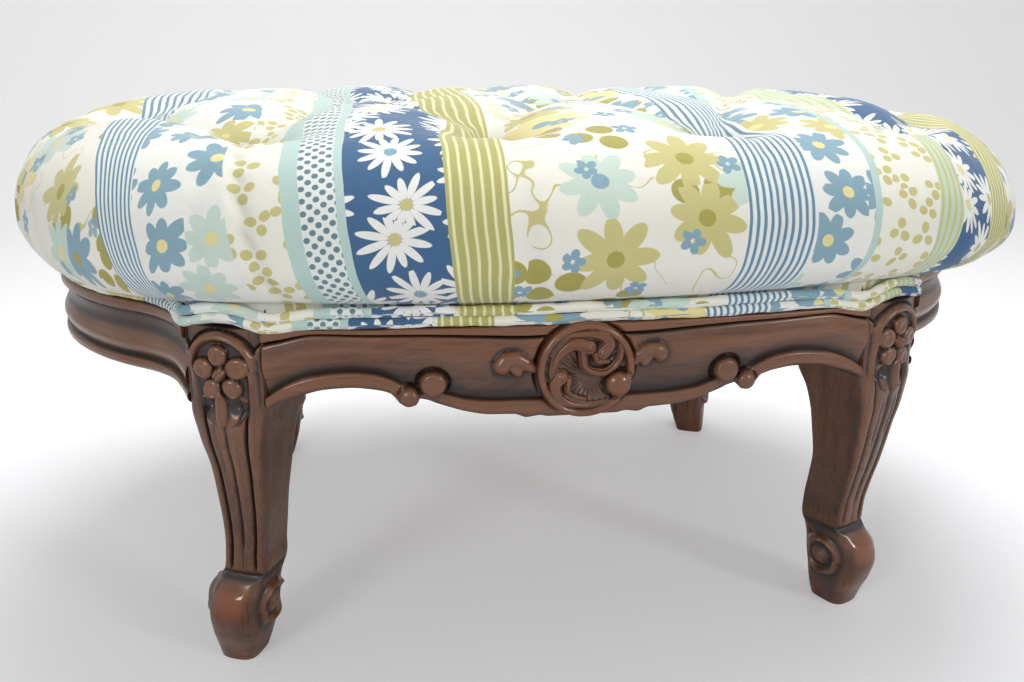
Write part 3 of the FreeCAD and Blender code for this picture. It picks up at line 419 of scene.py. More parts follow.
def walnut(name, along):
    """Waxed walnut whose grain runs along an axis of the piece's own map or of the frame."""
    material, tree, shader = new_material(name)
    if along == "MAP":
        source = place_node(tree, "ShaderNodeUVMap", uv_map="surface").outputs[0]
        scale = (ALONG_GRAIN, ACROSS_GRAIN, ACROSS_GRAIN)
    else:
        source = place_node(tree, "ShaderNodeTexCoord").outputs["Object"]
        scale = tuple(ALONG_GRAIN if axis == along else ACROSS_GRAIN for axis in "XYZ")
    vector = place_node(tree, "ShaderNodeMapping", {"Vector": source, "Scale": scale}).outputs[0]
    # The hollow mark drives painted shade in the recesses and painted highlights on the ridges.
    hollow = attribute(tree, "hollow")
    lacquer = attribute(tree, "lacquer")
    figure = use_group(WOOD_FIGURE, Grain_Vector=vector, Hollow=hollow)
    colour = blend(lacquer, figure.outputs["Color"], tint(0.52, 0.27, 0.10))
    tree.links.new(colour, shader.inputs["Base Color"])
    rough = plus(figure.outputs["Roughness"], times(lacquer, -0.2), clamp=True)
    tree.links.new(rough, shader.inputs["Roughness"])
    bumped(shader, figure.outputs["Height"], 0.35, 0.0003)
    finish_of(shader, Coat_Weight=0.5, Coat_Roughness=0.22)
    return material


WALNUT_ALONG_X = walnut("walnut along the length", "X")
WALNUT_UPRIGHT = walnut("walnut upright", "Z")
WALNUT_ROUND = walnut("walnut round the end", "MAP")


# Printed cloth


def petal_flower():
    """One flower in each cell of a scattered grid, in the cloth's plane in millimetres.

    A petal is an ellipse whose middle lies a little over half the reach from the cell's point, turned
    to the nearest of count directions, and each petal has its own length.
    """
    tree, given, result = shader_group(
        "petal flower",
        [
            ("Vector", "NodeSocketVector", None),
            ("Cell", "NodeSocketFloat", 30.0),
            ("Scatter", "NodeSocketFloat", 0.6),
            ("Count", "NodeSocketFloat", 8.0),
            ("Reach", "NodeSocketFloat", 12.0),
            ("Width", "NodeSocketFloat", 2.5),
            ("Eye", "NodeSocketFloat", 2.5),
        ],
        [("Petal", "NodeSocketFloat"), ("Eye", "NodeSocketFloat"), ("Chance", "NodeSocketFloat")],
    )
    vector = given.outputs["Vector"]
    scale = ratio(1.0, given.outputs["Cell"])
    cells = place_node(tree, "ShaderNodeTexVoronoi", {"Vector": vector, "Scale": scale,
                                                      "Randomness": given.outputs["Scatter"]},
                       voronoi_dimensions="2D")
    local = vector_maths("SUBTRACT", vector, cells.outputs["Position"])
    parts = apart(local)
    colour = place_node(tree, "ShaderNodeSeparateColor", {0: cells.outputs["Color"]})
    flat = place_node(tree, "ShaderNodeCombineXYZ", {0: parts[0], 1: parts[1]}).outputs[0]
    radius = vector_maths("LENGTH", flat, output="Value")
    angle = maths("ARCTAN2", parts[1], parts[0])
    turns = plus(ratio(angle, 2 * math.pi), colour.outputs[0])
    steps = times(turns, given.outputs["Count"])
    number = maths("ROUND", steps)
    lean = times(ratio(minus(steps, number), given.outputs["Count"]), 2 * math.pi)
    own = place_node(tree, "ShaderNodeCombineXYZ", {0: number, 1: colour.outputs[1]}).outputs[0]
    chance = place_node(tree, "ShaderNodeTexWhiteNoise", {"Vector": own}, noise_dimensions="2D").outputs[0]
    reach = times(given.outputs["Reach"], maths("MULTIPLY_ADD", chance, 0.28, 0.80))
    along = times(radius, maths("COSINE", lean))
    aside = times(radius, maths("SINE", lean))
    along = ratio(minus(along, times(reach, 0.58)), times(reach, 0.42))
    aside = ratio(aside, given.outputs["Width"])
    size = maths("SQRT", plus(times(along, along), times(aside, aside)))
    petal = between(size, 1.06, 0.94)
    eye = between(ratio(radius, given.outputs["Eye"]), 1.08, 0.92)
    tree.links.new(petal, result.inputs["Petal"])
    tree.links.new(eye, result.inputs["Eye"])
    tree.links.new(colour.outputs[2], result.inputs["Chance"])
    return tree


PETAL_FLOWER = petal_flower()
FIELD, PALE, SPRIG, DOT, AQUA, DAISY, OLIVE_LINE, BLUE_LINE, AQUA_LINE = range(9)
BANDS = [(-620, SPRIG), (-545, DOT), (-523, AQUA), (-520, DAISY), (-464, OLIVE_LINE), (-430, FIELD),
         (-305, BLUE_LINE), (-262, PALE), (-202, SPRIG), (-170, AQUA), (-162, DOT), (-141, AQUA),
         (-138, DAISY), (-84, OLIVE_LINE), (-50, FIELD), (85, BLUE_LINE), (127, PALE), (165, AQUA),
         (170, SPRIG), (215, AQUA_LINE), (235, DAISY), (285, OLIVE_LINE), (319, FIELD), (455, BLUE_LINE),
         (497, PALE)]
BAND_LOW, BAND_HIGH = -620, 620
GROUNDS = [tint(0.965, 0.955, 0.91), tint(0.96, 0.96, 0.935), tint(0.965, 0.96, 0.91),
           tint(0.93, 0.955, 0.94), tint(0.76, 0.86, 0.83), tint(0.29, 0.43, 0.58),
           tint(0.74, 0.73, 0.46), tint(0.93, 0.96, 0.95), tint(0.80, 0.88, 0.80)]
OLIVE, PALE_OLIVE = tint(0.70, 0.67, 0.36), tint(0.83, 0.80, 0.55)
SKY, SLATE = tint(0.56, 0.69, 0.75), tint(0.45, 0.55, 0.58)
MIST, STRAW, WHITE = tint(0.82, 0.89, 0.84), tint(0.94, 0.89, 0.64), tint(0.97, 0.97, 0.95)


def stepped_ramp(value, stops):
    """A colour ramp without blending, from (place, colour) pairs."""
    ramp = place_node(value.id_data, "ShaderNodeValToRGB", {0: value})
    ramp.color_ramp.interpolation = "CONSTANT"
    marks = ramp.color_ramp.elements
    marks[0].position, marks[0].color = stops[0]
    marks.remove(marks[1])
    for place, colour in stops[1:]:
        marks.new(place).color = colour
    return ramp.outputs[0]


def painted(colour, mask, paint, *limits):
    """Paint laid over a colour where a mask and each further mask hold."""
    for limit in limits:
        mask = times(mask, limit)
    return blend(mask, colour, paint)


def lines(along, period, share, soft=0.12):
    """Even stripes of a period in millimetres: the mask of the share of each period that is printed."""
    saw = maths("PINGPONG", ratio(along, period), 0.5)
    return between(saw, share / 2 + soft / 2, share / 2 - soft / 2)


def moved(vector, x, y, turn=0.0):
    """A vector moved in its plane, and turned, so that one pattern doesn't repeat another's cells."""
    inputs = {"Vector": vector, "Location": (x, y, 0), "Rotation": (0, 0, turn)}
    return place_node(vector.id_data, "ShaderNodeMapping", inputs).outputs[0]


def printed_cloth():
    """Cotton printed with bands along its length: flowers, sprigs, dots and stripes, with a plain weave."""
    material, tree, shader = new_material("printed cotton")
    flat = cloth_plane(tree)
    wobble = noise(flat, 0.02, 2.0, dimensions="2D")
    along = plus(apart(flat)[0], maths("MULTIPLY_ADD", wobble, 3.0, -1.5))
    span = BAND_HIGH - BAND_LOW
    share = ratio(minus(along, BAND_LOW), span)
    codes = [((start - BAND_LOW) / span, (0.1 * kind + 0.05,) * 3 + (1,)) for start, kind in BANDS]
    code = stepped_ramp(share, codes)
    colour = stepped_ramp(code, [(0.1 * kind, ground) for kind, ground in enumerate(GROUNDS)])
    band = [maths("COMPARE", code, 0.1 * kind + 0.05, 0.04) for kind in range(len(GROUNDS))]

    def flower(x, y, turn, **values):
        return use_group(PETAL_FLOWER, Vector=moved(flat, x, y, turn), **values)

    stems = maths("ABSOLUTE", minus(noise(flat, 0.028, 1.0, dimensions="2D"), 0.5))
    stem = between(stems, 0.0085, 0.0055)
    gate = between(noise(moved(flat, 90, 40), 0.03, 0.0, dimensions="2D"), 0.46, 0.50)
    colour = painted(colour, stem, PALE_OLIVE, band[FIELD], gate)
    fruit = flower(13, 71, 0.4, Cell=52.0, Scatter=0.8, Count=3.0, Reach=21.0, Width=8.2, Eye=2.0)
    few = between(fruit.outputs["Chance"], 0.32, 0.34)
    colour = painted(colour, fruit.outputs["Petal"], OLIVE, band[FIELD], few)
    bloom = flower(-31, 22, 0.0, Cell=62.0, Scatter=0.75, Count=8.0, Reach=26.0, Width=5.4, Eye=5.2)
    kind = bloom.outputs["Chance"]
    paint = stepped_ramp(kind, [(0, MIST), (0.3, SKY), (0.5, PALE_OLIVE), (0.72, MIST), (0.86, STRAW)])
    centre = stepped_ramp(kind, [(0, STRAW), (0.42, OLIVE), (0.72, SKY)])
    colour = painted(colour, bloom.outputs["Petal"], paint, band[FIELD])
    colour = painted(colour, bloom.outputs["Eye"], centre, band[FIELD])
    bud = flower(57, -18, 0.9, Cell=33.0, Scatter=1.0, Count=5.0, Reach=8.0, Width=2.6, Eye=1.6)
    few = between(bud.outputs["Chance"], 0.55, 0.57)
    colour = painted(colour, bud.outputs["Petal"], SKY, band[FIELD], few)

    bloom = flower(5, 9, 0.2, Cell=38.0, Scatter=0.5, Count=8.0, Reach=19.0, Width=4.2, Eye=3.8)
    paint = stepped_ramp(bloom.outputs["Chance"], [(0, SKY), (0.36, MIST), (0.6, PALE_OLIVE), (0.8, SKY)])
    colour = painted(colour, bloom.outputs["Petal"], paint, band[PALE])
    colour = painted(colour, bloom.outputs["Eye"], STRAW, band[PALE])

    sprig = flower(2, 4, 0.0, Cell=19.0, Scatter=0.6, Count=3.0, Reach=8.6, Width=2.9, Eye=0.9)
    colour = painted(colour, sprig.outputs["Petal"], PALE_OLIVE, band[SPRIG])

    dots = flower(1, 0, math.pi / 4, Cell=5.3, Scatter=0.0, Count=3.0, Reach=0.5, Width=0.1, Eye=1.75)
    colour = painted(colour, dots.outputs["Eye"], SLATE, band[DOT])

    daisy = flower(19, -7, 0.0, Cell=35.0, Scatter=0.65, Count=12.0, Reach=20.5, Width=2.3, Eye=3.6)
    heart = stepped_ramp(daisy.outputs["Chance"], [(0, STRAW), (0.45, SKY), (0.7, PALE_OLIVE)])
    colour = painted(colour, daisy.outputs["Petal"], WHITE, band[DAISY])
    colour = painted(colour, daisy.outputs["Eye"], heart, band[DAISY])

    colour = painted(colour, lines(along, 5.67, 0.30), tint(0.94, 0.93, 0.74), band[OLIVE_LINE])
    colour = painted(colour, lines(along, 4.4, 0.44), tint(0.43, 0.57, 0.66), band[BLUE_LINE])
    colour = painted(colour, lines(along, 5.0, 0.4), PALE_OLIVE, band[AQUA_LINE])

    warp, weft = (
        place_node(tree, "ShaderNodeTexWave", {"Vector": flat, "Scale": scale, "Distortion": distortion,
                                               "Detail": 1.0, "Detail Scale": 1.0},
                   bands_direction=direction).outputs[1]
        for direction, scale, distortion in (("Y", 0.52, 1.5), ("X", 0.6, 1.2))
    )
    thread = plus(warp, weft)
    shade = maths("MULTIPLY_ADD", thread, 0.035, 0.955)
    grey = place_node(tree, "ShaderNodeCombineColor", {0: shade, 1: shade, 2: shade}).outputs[0]
    colour = blend(1.0, colour, grey, mode="MULTIPLY")
    # Painted shade: the cloth darkens in the tuft wells, crown folds and pleat creases.
    hollow_shade = attribute(tree, "hollow")
    colour = blend(times(hollow_shade, 0.5, clamp=True), colour, tint(0.45, 0.44, 0.36))
    tree.links.new(colour, shader.inputs["Base Color"])
    creases = noise(flat, 0.05, 3.0, 0.55, dimensions="2D")
    height = plus(times(thread, 0.12), times(creases, 3.0))
    bumped(shader, height, 0.5, 0.0007)
    finish_of(shader, Roughness=0.85, Sheen_Weight=0.45, Sheen_Roughness=0.35, Specular_IOR_Level=0.25)
    return material


PRINTED_COTTON = printed_cloth()


# Legs: a grid of levels up the leg and stations round its section

LEG_HEIGHT = [0, 12, 28, 45, 58, 68, 76, 92, 112, 138, 165, 187, 206, 262]
LEG_MIDDLE = [29, 27, 24, 22, 20, 17, 14, 11, 6, 1, -1, 0, 0, 0]
LEG_OUTER = [-25, -21, -14, -10, -12, -19, -22, -20, -14, -6, -1, 1, 1, 1]
LEG_INNER = [-53, -54, -54, -56, -56, -56, -56, -54, -48, -42, -44, -49, -56, -56]
LEG_WIDTH = [28, 33, 38, 40, 39, 36, 34, 32, 33, 36, 40, 47, 53, 53]
LEG_BOW = [1.5, 2, 2.5, 3, 3, 2, 1.5, 1.5, 1.5, 2, 3, 4, 5, 5]
LEG_SQUARE = [4, 4, 3.6, 3.4, 3.6, 4.5, 7, 9, 9, 9, 9, 12, 18, 18]
REED_PLACE = 0.56
ARCH_CENTRE = 234.0
ARCH_RADIUS = 24.6
FLOWER_CENTRE = (-0.5, 231.5)
PETALS = [(86, 11.4, 7.2, 6.4), (12, 11.8, 7.6, 7.0), (-58, 12.0, 7.2, 6.2), (-130, 11.2, 7.0, 6.0),
          (160, 12.0, 8.0, 7.2)]
GROOVES = [(-REED_PLACE, 2.2, 74, 216), (REED_PLACE, 2.2, 74, 216), (0.02, 1.7, 92, 196),
           (-0.27, 0.8, 150, 196), (0.30, 0.8, 156, 196), (-0.14, 0.6, 170, 198)]


def knee_carving(side, height):
    """Relief of the knee: a hood arch, a five-petal flower and a leaf bud over two hooked cuts."""
    reach = np.hypot(side, np.maximum(height - ARCH_CENTRE, 0) + 0 * side)
    jamb = np.abs(side)
    arch = np.where(height > ARCH_CENTRE, reach, jamb * ARCH_RADIUS / 23.0)
    upper = smooth(222, 236, height)
    relief = 2.2 * bell(arch - (ARCH_RADIUS - 3.4), 2.3) * upper
    notch = 246.0
    line = notch + np.maximum(jamb - 21.5, 0) * 1.1
    above = smooth(-0.4, 0.6, arch - ARCH_RADIUS) * smooth(-0.5, 0.5, height - line)
    relief -= 2.4 * above
    relief -= 3.0 * bell(arch - ARCH_RADIUS, 0.9) * smooth(notch - 3, notch, height)
    relief -= 2.6 * bell(height - line, 0.9) * smooth(21, 22, jamb)
    relief -= 1.2 * bell(jamb - 23.6, 1.0) * smooth(244, 238, height) * smooth(207, 216, height)
    inside = smooth(ARCH_RADIUS - 4.5, ARCH_RADIUS - 7.5, arch) * smooth(198, 210, height)
    relief -= 1.9 * inside
    centre_x, centre_z = FLOWER_CENTRE
    for angle, distance, long_radius, wide_radius in PETALS:
        turn = math.radians(angle)
        dx = side - centre_x - distance * math.cos(turn)
        dz = height - centre_z - distance * math.sin(turn)
        along = dx * math.cos(turn) + dz * math.sin(turn)
        aside = -dx * math.sin(turn) + dz * math.cos(turn)
        petal = dome(np.hypot(along / long_radius, aside / wide_radius), 1.0)
        cup = 1.9 * bell(np.hypot(along - 1.0, aside), 3.8)
        leaf = petal**0.6 * (6.2 + 0.10 * along) - 2.2 - cup
        relief = np.where(petal > 0, np.maximum(relief, leaf), relief)
    dx, dz = side - centre_x, height - centre_z
    along = dx * 0.57 - dz * 0.82
    aside = dx * 0.82 + dz * 0.57
    heart = dome(np.hypot(along / 5.8, aside / 4.3), 1.0)
    heart_height = heart * 8.2 - 2.4 - 1.6 * bell(aside, 0.9)
    relief = np.where(heart > 0, np.maximum(relief, heart_height), relief)
    bud_half = 4.6 * np.sqrt(np.clip(1 - ((height - 207.5) / 12.5) ** 2, 0, 1))
    bud = dome(side - 1.0, np.maximum(bud_half, 0.01))
    relief = np.where(bud > 0, np.maximum(relief, bud * 5.2 - 2.0), relief)
    for sign in (-1, 1):
        hook = stroke(side, height, [(sign * 13, 206), (sign * 9.5, 199), (sign * 5.5, 196.5)], 2.0, 0.6)
        relief = relief - 1.3 * hook
        pocket = bell(side - sign * 9.0, 3.6) * bell(height - 209, 4.2)
        relief = relief - 2.6 * pocket
        ledge = stroke(side, height, [(sign * 15, 214), (sign * 9, 217), (sign * 4, 216.5)], 1.2, 0.8)
        relief = relief + 1.2 * ledge
    return relief


def reeding(side, height, half):
    """Relief of the leg's face: a bead along each edge, and reeds between grooves of a bell's section."""
    share = side / half
    zone = smooth(74, 80, height) * smooth(214, 200, height)
    relief = np.zeros_like(share)
    for place, depth, low, high in GROOVES:
        fade = smooth(low, low + 10, height) * smooth(high, high - 12, height)
        relief -= depth * bell((share - place) * half, 1.15) * fade
    reed = 1.0 * (dome(np.abs(share) - REED_PLACE / 2, REED_PLACE / 2) - 0.5) * zone
    bead = 1.1 * dome(np.abs(share) - (1 + REED_PLACE) / 2, (1 - REED_PLACE) / 2) * zone
    return relief + np.where(np.abs(share) < REED_PLACE, reed, bead)


def volute(out, height):
    """Relief of the foot's side scroll: a round eye in a dished disc with a raised rim that winds in."""
    dx, dz = out + 35.0, height - 46.0
    radius = np.hypot(dx, dz)
    angle = np.arctan2(dz, -dx)
    rim_place = 15.2 + 1.6 * angle / math.pi
    rim = 3.2 * bell(radius - rim_place, 1.9) + 2.8 * smooth(rim_place + 1.2, rim_place - 1.8, radius)
    dish = -2.2 * bell(radius - 9.2, 2.6)
    eye = 4.6 * dome(radius, 6.2)
    tail = 2.0 * stroke(out, height, [(-35, 62), (-45, 66), (-54, 74)], 1.4, 0.5) / 1.4
    return np.maximum(rim + dish, eye) + 0.5 * tail


def leg_points():
    """The front right leg's points and marks.

    A section is a superellipse. The tables give its size, squareness and place at each level, and the
    carving is laid on its outer face and its flanks. The whole is turned to the leg's azimuth.
    """
    levels = np.concatenate([
        np.linspace(0, 18, 10)[:-1],
        np.linspace(18, 82, 84)[:-1],
        np.linspace(82, 188, 58)[:-1],
        np.linspace(188, WOOD_TOP - 0.2, 104),
    ])
    face, flank, rear = (np.linspace(-1, 1, count + 1)[:-1] for count in (104, 52, 22))
    ones = np.ones_like
    across_unit = np.concatenate([face, ones(flank), -rear, -ones(flank)])
    out_unit = np.concatenate([ones(face), -flank, -ones(rear), flank])
    height = levels[:, None] + 0 * across_unit[None]
    tables = (LEG_MIDDLE, LEG_OUTER, LEG_INNER, LEG_WIDTH, LEG_BOW, LEG_SQUARE)
    middle, outer, inner, width, bow, square = (
        through(LEG_HEIGHT, table, levels)[:, None] for table in tables
    )
    half = width / 2
    pull = (np.abs(across_unit) ** square + np.abs(out_unit) ** square) ** (-1 / square)
    a, b = across_unit * pull, out_unit * pull
    side = half * a
    out = (outer + inner) / 2 + (outer - inner) / 2 * b
    facing = smooth(0.90, 0.995, b)
    out = out + bow * (1 - a * a) * smooth(0.2, 1.0, b)
    carving = knee_carving(side, height) * smooth(192, 198, height)
    carving = carving + reeding(side, height, half)
    collar = -2.6 * bell(height - 72.5, 2.6)
    face_relief = (carving + collar) * facing
    beside = smooth(0.90, 0.995, np.abs(a))
    scroll = volute(out, height) * smooth(84, 74, height) * smooth(6, 14, height)
    waist = -0.8 * smooth(80, 92, height) * smooth(200, 180, height)
    flank_relief = (scroll + waist + 0.6 * collar * smooth(-58, -40, out)) * beside
    ridge = 2.2 * dome(a, 1.2) * bell(height - 66, 7.0) * facing
    out = out + face_relief + 0.4 * ridge
    side = side + np.sign(a) * flank_relief
    relief = face_relief + flank_relief
    # Painted shade: the hollow mark darkens the carving's hollows, the collar groove at 72.5 mm and the
    # knee's lower cuts at 206 mm, and makes the foot's flanks darker below 70 mm.
    hollow = hollows(relief, 4, closed=True) + 0.9 * bell(height - 72.5, 4.5)
    hollow = hollow + 0.5 * bell(height - 206, 9) * facing + 0.35 * beside * smooth(70, 60, height)
    lacquer = smooth(40, 56, height) * smooth(69, 62, height) * facing * 0.9
    lacquer = lacquer + smooth(0, 12, 58 - height) * 0.25 * facing
    ledge = [np.minimum(out[-1], -SETBACK * math.cos(AZIMUTH) - 0.2)]
    rows_out = np.vstack([out, ledge, ledge])
    rows_height = np.vstack([height, height[-1:], 0 * height[-1:] + FRAME_TOP])
    side, middle, hollow, lacquer = (np.vstack([values, values[-1:], values[-1:]])
                                     for values in (side, middle, hollow, lacquer))
    plan = STATION + (side + middle)[..., None] * ACROSS
    plan = plan + rows_out[..., None] * OUT
    points = np.concatenate([plan, rows_height[..., None]], -1)
    return points, {"hollow": hollow, "lacquer": lacquer}


def mirrored(points, sign_x, sign_y):
    """The points times a sign along x and y, which reflects them in the upright middle planes."""
    return points * np.array([sign_x, sign_y, 1.0])


CORNERS = {"front_right": (1, 1), "front_left": (-1, 1), "back_right": (1, -1), "back_left": (-1, -1)}

leg_grid, leg_marks = leg_points()
for corner, (sign_x, sign_y) in CORNERS.items():
    points = mirrored(leg_grid, sign_x, sign_y)
    name = "leg_" + corner
    leg = grid_piece(name + "_carved", points, True, None, leg_marks, end_middles(points),
                     turned=sign_x * sign_y < 0)
    fitted(leg, WALNUT_UPRIGHT, "walnut", name)


# Long rails: rows follow the carved lines of the face, then go round the ledge, back and underside

EDGE_X = [0, 22, 28, 36, 44, 60, 72, 85, 92, 98, 103, 105.6, 110, 115, 118, 121, 130, 144, 160, 176, 188,
          200, 215]
EDGE_Z = [199, 199, 200, 199, 201.5, 202, 204, 208, 210.5, 213, 214, 210.5, 208.5, 211, 215, 218, 220.5, 222,
          221, 217, 213, 207, 200]
LINE_X = [0, 35, 53, 72, 87, 95, 103, 107, 114, 121, 130, 144, 166, 184, 197, 215]
LINE_Z = [212, 212, 212, 213.5, 218, 222, 222.5, 222.5, 225, 228.5, 231.5, 233, 231, 225, 217, 206]
TOP_X = [0, 35, 66, 100, 133, 164, 187, 196, 206, 215]
TOP_Z = [252.5, 252.5, 254, 255.5, 256, 257, 252.5, 250.5, 245, 240]
ROSETTE_RADIUS = 31.0
ROSETTE_HEIGHT = 231.0
BOSS = (94.7, 224.0, 8.5)
SCROLL_EYE = (109.5, 215.5, 6.4)
LEAVES = [
    ([(-52.5, 235.0), (-50.0, 238.2), (-44.5, 239.0), (-38.0, 236.0)], 6.0, 4.6),
    ([(-45.0, 233.5), (-42.5, 230.6)], 3.8, 3.6),
    ([(-38.0, 235.5), (-33.0, 232.5)], 4.4, 3.2),
    ([(49.0, 238.0), (46.5, 241.0), (41.0, 241.2), (35.0, 238.0)], 5.4, 4.6),
    ([(41.0, 237.5), (38.5, 233.4)], 3.8, 3.4),
    ([(36.0, 238.0), (31.5, 234.5)], 4.4, 3.4),
]


def bead(t):
    """A rounded moulding across its own width: a half round with its edges eased."""
    return dome(2 * t - 1, 1.08)


def rail_ornaments(x, z, relief):
    """Bosses, scroll eyes and leaf pairs of the long rail, laid over its mouldings."""
    middle_x, middle_z, size = BOSS
    radius = np.hypot(np.abs(x) - middle_x, z - middle_z)
    boss = 2.2 * smooth(size + 0.2, size - 1.8, radius) + 2.6 * dome(radius, size)
    relief = relief - 2.2 * bell(radius - size - 1.1, 1.1) * smooth(-2, 2, z - 218)
    relief = np.where(radius < size + 0.3, np.maximum(relief, boss - 0.6), relief)
    middle_x, middle_z, size = SCROLL_EYE
    radius = np.hypot(np.abs(x) - middle_x, z - middle_z)
    relief = np.where(radius < size, np.maximum(relief, 4.2 * dome(radius, size) - 0.4), relief)
    relief = relief - 2.0 * bell(radius - 7.2, 0.9) * smooth(-1, 2, z - 216)
    mass = np.zeros_like(x)
    for points, first, last in LEAVES:
        mass = np.maximum(mass, stroke(x, z, points, first, last))
    ring = blurred(mass, 4)
    relief = np.where(mass > 0, np.maximum(relief, mass * 0.95 + 0.2), relief - 0.9 * smooth(0, 1.6, ring))
    return relief


def long_rail_points():
    """The front rail's points and marks: x along the columns, and rows from the lower edge round."""
    spread = np.linspace(-1, 1, 521)
    lower, field, upper = np.linspace(0, 1, 13)[:-1], np.linspace(0, 1, 47)[:-1], np.linspace(0, 1, 12)
    seam = FRONT_SEAM[0]
    x = spread[None] * seam
    size = np.abs(x)
    edge = through(EDGE_X, EDGE_Z, size)
    line = np.maximum(through(LINE_X, LINE_Z, size), edge + 2.5)
    top = through(TOP_X, TOP_Z, size)
    t = lower[:, None]
    z = [edge + (line - edge) * t]
    low_bead = -2.6 + 2.6 * smooth(-0.1, 0.32, t) - 0.5 * t + 0.9 * bead(t) - 3.4 * smooth(0.84, 1.0, t)
    t = field[:, None]
    z.append(line + (top - line) * t)
    mid = -4.4 + 4.3 * smooth(-0.25, 0.62, t) + 1.7 * bell(t - 0.66, 0.3) - 1.2 * smooth(0.93, 1.0, t)
    t = upper[:, None]
    z.append(top + (WOOD_TOP - top) * t)
    top_bead = -3.6 * smooth(0.2, 0.0, t) + 0.9 * bead(t) - 0.9 * smooth(0.85, 1.0, t)
    z = np.vstack(z)
    wide = 0 * size
    relief = np.vstack([low_bead + wide, mid + wide, top_bead + wide])
    x = x + 0 * z
    from_rosette = np.hypot(x, z - ROSETTE_HEIGHT)
    near = smooth(ROSETTE_RADIUS + 3, ROSETTE_RADIUS - 1, from_rosette)
    relief = relief * (1 - near) - 1.5 * near
    relief = relief - 1.6 * bell(from_rosette - ROSETTE_RADIUS - 0.6, 1.5) * smooth(206, 212, z)
    gouge = np.sin(0.75 * (z + 0.35 * np.abs(x)) + 3 * np.sin(x * 0.05)) * smooth(30, 36, np.abs(x))
    field_zone = smooth(1.5, 4, z - line) * smooth(1.5, 4, top - z)
    relief = relief + 0.06 * gouge * field_zone * smooth(92, 74, np.abs(x))
    relief = rail_ornaments(x, z, relief)
    edge_round = smooth(0, 1, (seam - np.abs(x)) / 0.7)
    relief = relief - 0.5 * (1 - edge_round)
    # The hollow mark gives painted shade in the grooves and painted highlights on the beads.
    hollow = hollows(relief, 4)
    radius = FRONT_RADIUS + relief
    y = BOW_CENTRE - np.sqrt(radius**2 - x**2)
    back_y = -HALF_DEPTH + 25.0
    shelf_y = BOW_CENTRE - np.sqrt((FRONT_RADIUS - SETBACK) ** 2 - x[-1:] ** 2)
    flat = 0 * x[:1]
    rows_y = [y, shelf_y, shelf_y, flat + back_y, flat + back_y]
    rows_z = [z, flat + WOOD_TOP, flat + FRAME_TOP, flat + FRAME_TOP, z[:1] + 1.0]
    y, z = np.vstack(rows_y), np.vstack(rows_z)
    x = np.repeat(spread[None] * seam, len(y), 0)
    x = x - np.sign(x) * np.abs(spread) ** 6 * (y - FRONT_SEAM[1]) * math.tan(AZIMUTH)
    points = np.stack([x, y, z], -1)
    return points, marks_for(points, hollow=hollow)


rail_grid, rail_marks = long_rail_points()
for name, sign_y in (("front_rail", 1), ("back_rail", -1)):
    points = mirrored(rail_grid, 1, sign_y)
    rail = grid_piece(name + "_carved", points, marks=rail_marks, rolled=True, capped=True, turned=sign_y < 0)
    fitted(rail, WALNUT_ALONG_X, "walnut", name)


# Rosettes: a wheel of winding lobes, its height read off carved lines

LOBES = [
    ([(1.0, 15.0), (-6.6, 17.4), (-14.2, 13.6), (-19.6, 6.0), (-21.2, -3.0), (-19.0, -12.0)], 5.8, 2.6),
    ([(10.5, 11.0), (14.4, 16.4), (11.0, 21.4), (2.4, 23.6), (-8.4, 22.8), (-16.6, 17.8), (-22.4, 10.4)],
     5.4, 2.4),
    ([(-2.4, 12.5), (-1.6, 4.0), (3.8, -1.6), (11.4, -2.6), (18.8, 2.2), (22.2, 10.6), (20.6, 18.4)],
     3.2, 3.0),
    ([(-16.0, -4.0), (-20.0, -10.0), (-17.0, -17.6), (-8.4, -22.6), (3.0, -24.2), (14.0, -22.0)], 5.4, 2.8),
    ([(-11.0, -6.0), (-11.6, -13.4), (-6.0, -18.4), (0.0, -19.6)], 3.0, 1.8),
    ([(5.4, 10.2), (8.4, 4.6), (14.0, 4.8)], 2.4, 1.8),
]
BALL_X, BALL_Z, BALL_RADIUS = 21.5, -10.5, 8.6
HEART_X, HEART_Z = 3.0, -4.0
RIM_RADIUS, RIM_HALF = 28.6, 2.9


